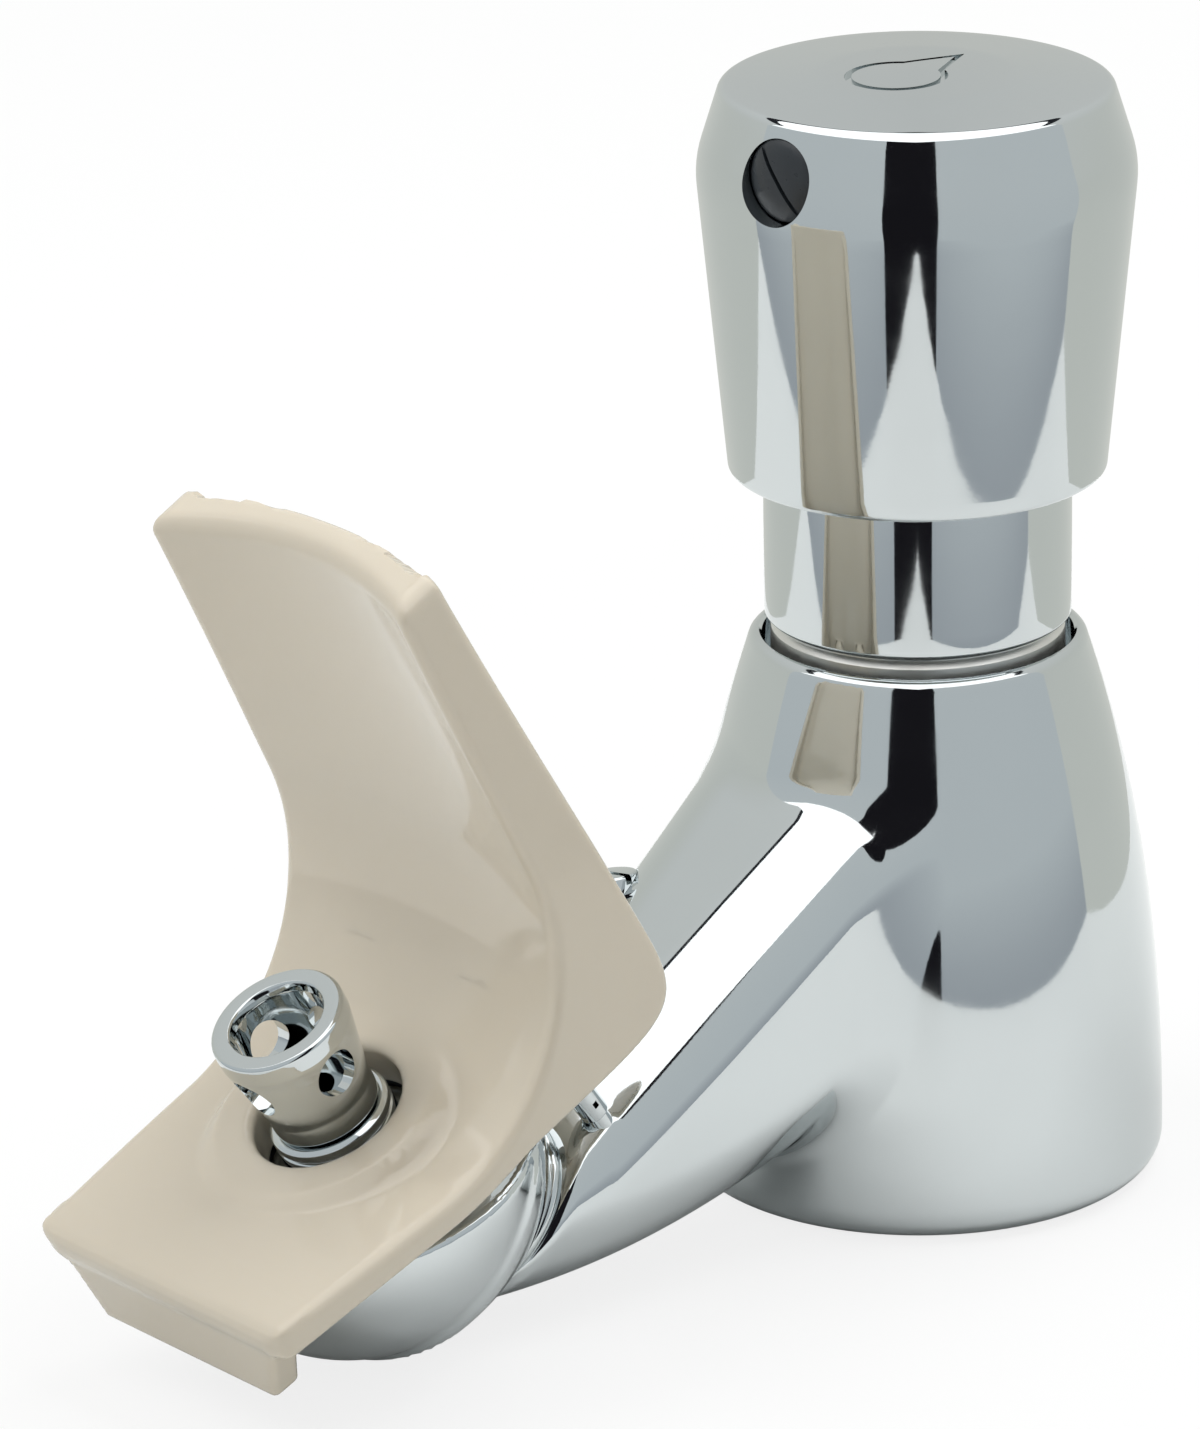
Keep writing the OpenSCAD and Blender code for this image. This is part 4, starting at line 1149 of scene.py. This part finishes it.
class BUBBLER_OT_regulator(bpy.types.Operator):
    """Slotted regulating screw on the arm's far shoulder"""

    bl_idname = "bubbler.regulator"
    bl_label = "Regulating screw"

    # From the point up: (radius, height, rounding), with a groove for the seal
    outline = (
        (0, -13, 0), (0.5, -13, 0.2), (1.9, -9, 0.5), (1.9, -7, 0.2), (3, -6.5, 0.1), (3, -4.2, 0),
        (2.2, -4.2, 0), (2.2, -2.4, 0), (3, -2.4, 0), (3, 2, 0.45), (0, 2, 0),
    )

    def execute(self, context):
        screw = scratch(spun(rounded(self.outline, 5), 96))
        combine(screw, scratch(block((8, 0.8, 3), (0, 0, 2.5))))
        screw.data.transform(Place.regulator)
        present(screw, "slotted_regulator", "regulator", chrome_plate(), ["regulator_screw"])
        dress(black_rubber(), "regulator_oring")
        return {"FINISHED"}


class BUBBLER_OT_stage(bpy.types.Operator):
    """Floor, soft lights and the camera"""

    bl_idname = "bubbler.stage"
    bl_label = "Stage"

    # The camera's place and its last turns about its own axes, fitted to the photograph
    azimuth, elevation, distance, height = 0.81839, 0.337989, 0.9, 0.06
    yaw, pitch, roll = 0.0389597, -0.0082169, -0.0028231
    lens, sensor_width = 244.824, 36

    # Corners of the light tent, right of the object and towards the camera, in millimetres.
    # It is open towards the camera. Its cloths glow and are seen only in reflections: a painted reflection of
    # a lit tent, with painted shade by height
    front, right, rear, left = (0, 242), (235, 10), (0, -250), (-268, -5)
    gap_left, gap_right = (-57, 191), (36, 201)
    # The ceiling is a white glowing disc, a painted highlight that the rounded edges reflect
    ceiling, ceiling_radius, ceiling_glow = 325, 700, 1.8
    # Front walls: painted shade, darker towards their foot and lighter higher up
    cool_painted_foot_shade = ((0, "#ACB2B8"), (14, "#B6BCC1"), (40, "#CCD2D5"), (225, "#D2D7D9"))
    # Rear walls: pale, with a dark band painted along their top
    warm = (
        (0, "#DADCD6"), (120, "#D7D9D4"), (200, "#DCDEDC"), (290, "#E2E4E3"), (293, "#2A2C30"),
        (325, "#2A2C30"),
    )
    # Opening: a near-black sheet, painted shade where the tent is open
    dark = ((0, "#1B1A1E"), (225, "#1B1A1E"))
    # The tent's far corner is the one least lit: depths towards the camera, and the share of light there
    dim_far, dim_near, dim_share = -0.25, -0.15, 0.87

    # Name, azimuth and height in degrees, distance and size in metres, power in watts
    lamps = (
        ("key_light", -35, 50, 1.1, 0.8, 8),
        ("fill_light", 70, 35, 1.2, 0.9, 2.4),
        ("top_light", 170, 62, 1.2, 1.0, 13),
    )
    lamp_aim = Vector((0, -0.04, 0.05))
    floor_radius, floor_glow = 3, 0.82

    @staticmethod
    def direction(turn, tilt):
        """Unit vector at an azimuth from -Y and a height."""
        return Vector((math.sin(turn) * math.cos(tilt), -math.cos(turn) * math.cos(tilt), math.sin(tilt)))

    def link(self, name, bm, material):
        """An object of the stage, made from a mesh."""
        mesh = bpy.data.meshes.new(name)
        bm.to_mesh(mesh)
        bm.free()
        mesh.materials.append(material)
        obj = bpy.data.objects.new(name, mesh)
        bpy.context.scene.collection.objects.link(obj)
        return obj

    def panel(self, name, bm, shades, strength=1.0):
        """A glowing cloth of the light tent, that only reflections see: a painted reflection, with painted
        shade by height.
        """
        material, tree, shader, place = new_material(name + "_cloth")
        top = shades[-1][0]
        height = add_node(tree, "ShaderNodeSeparateXYZ", {"Vector": place}).outputs["Z"]
        share = add_node(tree, "ShaderNodeMapRange", {"Value": height, "From Max": top * MM})
        ramp = add_node(tree, "ShaderNodeValToRGB", {"Fac": share.outputs["Result"]})
        ramp.color_ramp.elements[0].color = (*linear(shades[0][1]), 1)
        ramp.color_ramp.elements[1].color = (*linear(shades[-1][1]), 1)
        for level, shade in shades[1:-1]:
            ramp.color_ramp.elements.new(level / top).color = (*linear(shade), 1)
        inputs = {0: place, 1: self.direction(self.azimuth, 0)}
        depth = add_node(tree, "ShaderNodeVectorMath", inputs, operation="DOT_PRODUCT").outputs["Value"]
        inputs = {"Value": depth, "From Min": self.dim_far, "From Max": self.dim_near}
        inputs |= {"To Min": self.dim_share * strength, "To Max": strength}
        level = add_node(tree, "ShaderNodeMapRange", inputs).outputs["Result"]
        glow = add_node(tree, "ShaderNodeEmission", {"Color": ramp.outputs["Color"], "Strength": level})
        tree.links.new(glow.outputs["Emission"], tree.nodes["Material Output"].inputs["Surface"])
        obj = self.link(name, bm, material)
        obj.visible_camera = obj.visible_diffuse = obj.visible_shadow = False

    def wall(self, name, start, end, shades):
        """An upright cloth between two corners of the tent."""
        bm = bmesh.new()
        bmesh.ops.create_grid(bm, x_segments=1, y_segments=1, size=0.5)
        turn = Matrix.Rotation(self.azimuth, 4, "Z")
        side = turn @ Vector((end[0] - start[0], start[1] - end[1], 0))
        upright = Vector((0, 0, shades[-1][0]))
        middle = turn @ Vector((start[0], -start[1], 0)) + side / 2 + upright / 2
        across = Matrix((side, upright, side.cross(Vector((0, 0, 1))))).transposed().to_4x4()
        bm.transform(Matrix.Scale(MM, 4) @ Matrix.Translation(middle) @ across)
        self.panel(name, bm, shades)

    def add_tent(self):
        self.wall("tent_front_right", self.gap_right, self.right, self.cool_painted_foot_shade)
        self.wall("tent_front_left", self.left, self.gap_left, self.cool_painted_foot_shade)
        self.wall("tent_opening_left", self.gap_left, self.front, self.dark)
        self.wall("tent_opening_right", self.front, self.gap_right, self.dark)
        self.wall("tent_rear_right", self.right, self.rear, self.warm)
        self.wall("tent_rear_left", self.rear, self.left, self.warm)
        bm = bmesh.new()
        bmesh.ops.create_circle(bm, cap_ends=True, segments=64, radius=self.ceiling_radius * MM)
        bmesh.ops.translate(bm, verts=bm.verts, vec=(0, 0, self.ceiling * MM))
        self.panel("tent_ceiling", bm, ((0, "#FFFFFF"), (self.ceiling, "#FFFFFF")), self.ceiling_glow)

    def add_camera(self, scene):
        back = self.direction(self.azimuth, self.elevation)
        right = Vector((math.cos(self.azimuth), math.sin(self.azimuth), 0))
        up = back.cross(right)
        place = back * self.distance + Vector((0, 0, self.height))
        turn = Matrix.Rotation(self.yaw, 3, up)
        back, right = turn @ back, turn @ right
        turn = Matrix.Rotation(self.pitch, 3, right)
        up, back = turn @ up, turn @ back
        turn = Matrix.Rotation(self.roll, 3, back)
        right, up = turn @ right, turn @ up
        camera = bpy.data.objects.new("camera", bpy.data.cameras.new("camera"))
        scene.collection.objects.link(camera)
        camera.data.sensor_fit = "HORIZONTAL"
        camera.data.sensor_width = self.sensor_width
        camera.data.lens = self.lens
        camera.data.clip_start = 0.05
        camera.matrix_world = Matrix.Translation(place) @ Matrix((right, up, back)).transposed().to_4x4()
        scene.camera = camera

    def add_floor(self):
        """White painted board, lifted to pure white for the camera only, so that its shadows stay soft."""
        cloud, limits = (60, 3, 0.5), (0.3, 0.7, 0.6, 0.6)
        material = finished("white_studio_floor", linear("#E0E1E0"), 0.985, cloud, cloud, limits, ())
        tree = material.node_tree
        board = tree.nodes["Principled BSDF"].outputs["BSDF"]
        rays = add_node(tree, "ShaderNodeLightPath").outputs["Is Camera Ray"]
        share = add_node(tree, "ShaderNodeMath", {0: rays, 1: self.floor_glow}, operation="MULTIPLY")
        glow = add_node(tree, "ShaderNodeEmission", {"Color": (1, 1, 1, 1), "Strength": 1.0})
        inputs = {0: share.outputs["Value"], 1: board, 2: glow.outputs["Emission"]}
        mix = add_node(tree, "ShaderNodeMixShader", inputs).outputs["Shader"]
        tree.links.new(mix, tree.nodes["Material Output"].inputs["Surface"])
        bm = bmesh.new()
        bmesh.ops.create_circle(bm, cap_ends=True, segments=96, radius=self.floor_radius)
        floor = self.link("floor", bm, material)

    def add_world(self, scene):
        """White to the camera and in reflections, and a faint even light for the rest."""
        world = bpy.data.worlds.new("studio")
        scene.world = world
        world.use_nodes = True
        tree = world.node_tree
        tree.nodes.clear()
        path = add_node(tree, "ShaderNodeLightPath").outputs
        seen = path["Is Camera Ray"]
        for rays in ("Is Glossy Ray", "Is Transmission Ray"):
            either = add_node(tree, "ShaderNodeMath", {0: seen, 1: path[rays]}, operation="MAXIMUM")
            seen = either.outputs["Value"]
        plain = add_node(tree, "ShaderNodeBackground", {"Color": (*linear("#F2F3F3"), 1), "Strength": 0.3})
        white = add_node(tree, "ShaderNodeBackground", {"Color": (1, 1, 1, 1), "Strength": 1.0})
        mix = add_node(tree, "ShaderNodeMixShader", {0: seen, 1: plain.outputs[0], 2: white.outputs[0]})
        output = add_node(tree, "ShaderNodeOutputWorld")
        tree.links.new(mix.outputs["Shader"], output.inputs["Surface"])

    def add_lamps(self, scene):
        for name, turn, tilt, reach, size, power in self.lamps:
            light = bpy.data.lights.new(name, "AREA")
            light.shape = "SQUARE"
            light.size = size
            light.energy = power
            lamp = bpy.data.objects.new(name, light)
            lamp.visible_glossy = False
            scene.collection.objects.link(lamp)
            back = self.direction(math.radians(turn), math.radians(tilt))
            lamp.location = back * reach + self.lamp_aim
            lamp.rotation_euler = back.to_track_quat("Z", "Y").to_euler()

    def execute(self, context):
        scene = context.scene
        scene.view_settings.view_transform = "Standard"
        self.add_camera(scene)
        self.add_floor()
        self.add_world(scene)
        self.add_tent()
        self.add_lamps(scene)
        return {"FINISHED"}


OPERATORS = (
    BUBBLER_OT_stage, BUBBLER_OT_casting, BUBBLER_OT_head, BUBBLER_OT_guard, BUBBLER_OT_nozzle,
    BUBBLER_OT_bonnet, BUBBLER_OT_cap, BUBBLER_OT_regulator,
)


class BUBBLER_PT_panel(bpy.types.Panel):
    """Sizes, colours and pieces of the bubbler"""

    bl_idname = "BUBBLER_PT_panel"
    bl_label = "Drinking fountain bubbler"
    bl_space_type = "VIEW_3D"
    bl_region_type = "UI"
    bl_category = "Bubbler"

    def draw(self, context):
        for group in (context.scene.bubbler_sizes, context.scene.bubbler_finish):
            for name in type(group).__annotations__:
                self.layout.prop(group, name)
        for operator in OPERATORS:
            self.layout.operator(operator.bl_idname)


CLASSES = (BubblerSizes, BubblerFinish, *OPERATORS, BUBBLER_PT_panel)


def register():
    for cls in CLASSES:
        bpy.utils.register_class(cls)
    bpy.types.Scene.bubbler_sizes = PointerProperty(type=BubblerSizes)
    bpy.types.Scene.bubbler_finish = PointerProperty(type=BubblerFinish)


def unregister():
    del bpy.types.Scene.bubbler_finish
    del bpy.types.Scene.bubbler_sizes
    for cls in reversed(CLASSES):
        bpy.utils.unregister_class(cls)


def main():
    register()
    bpy.ops.bubbler.stage()
    bpy.ops.bubbler.casting()
    bpy.ops.bubbler.head()
    bpy.ops.bubbler.guard()
    bpy.ops.bubbler.nozzle()
    bpy.ops.bubbler.bonnet()
    bpy.ops.bubbler.cap()
    bpy.ops.bubbler.regulator()


if __name__ == "__main__":
    main()
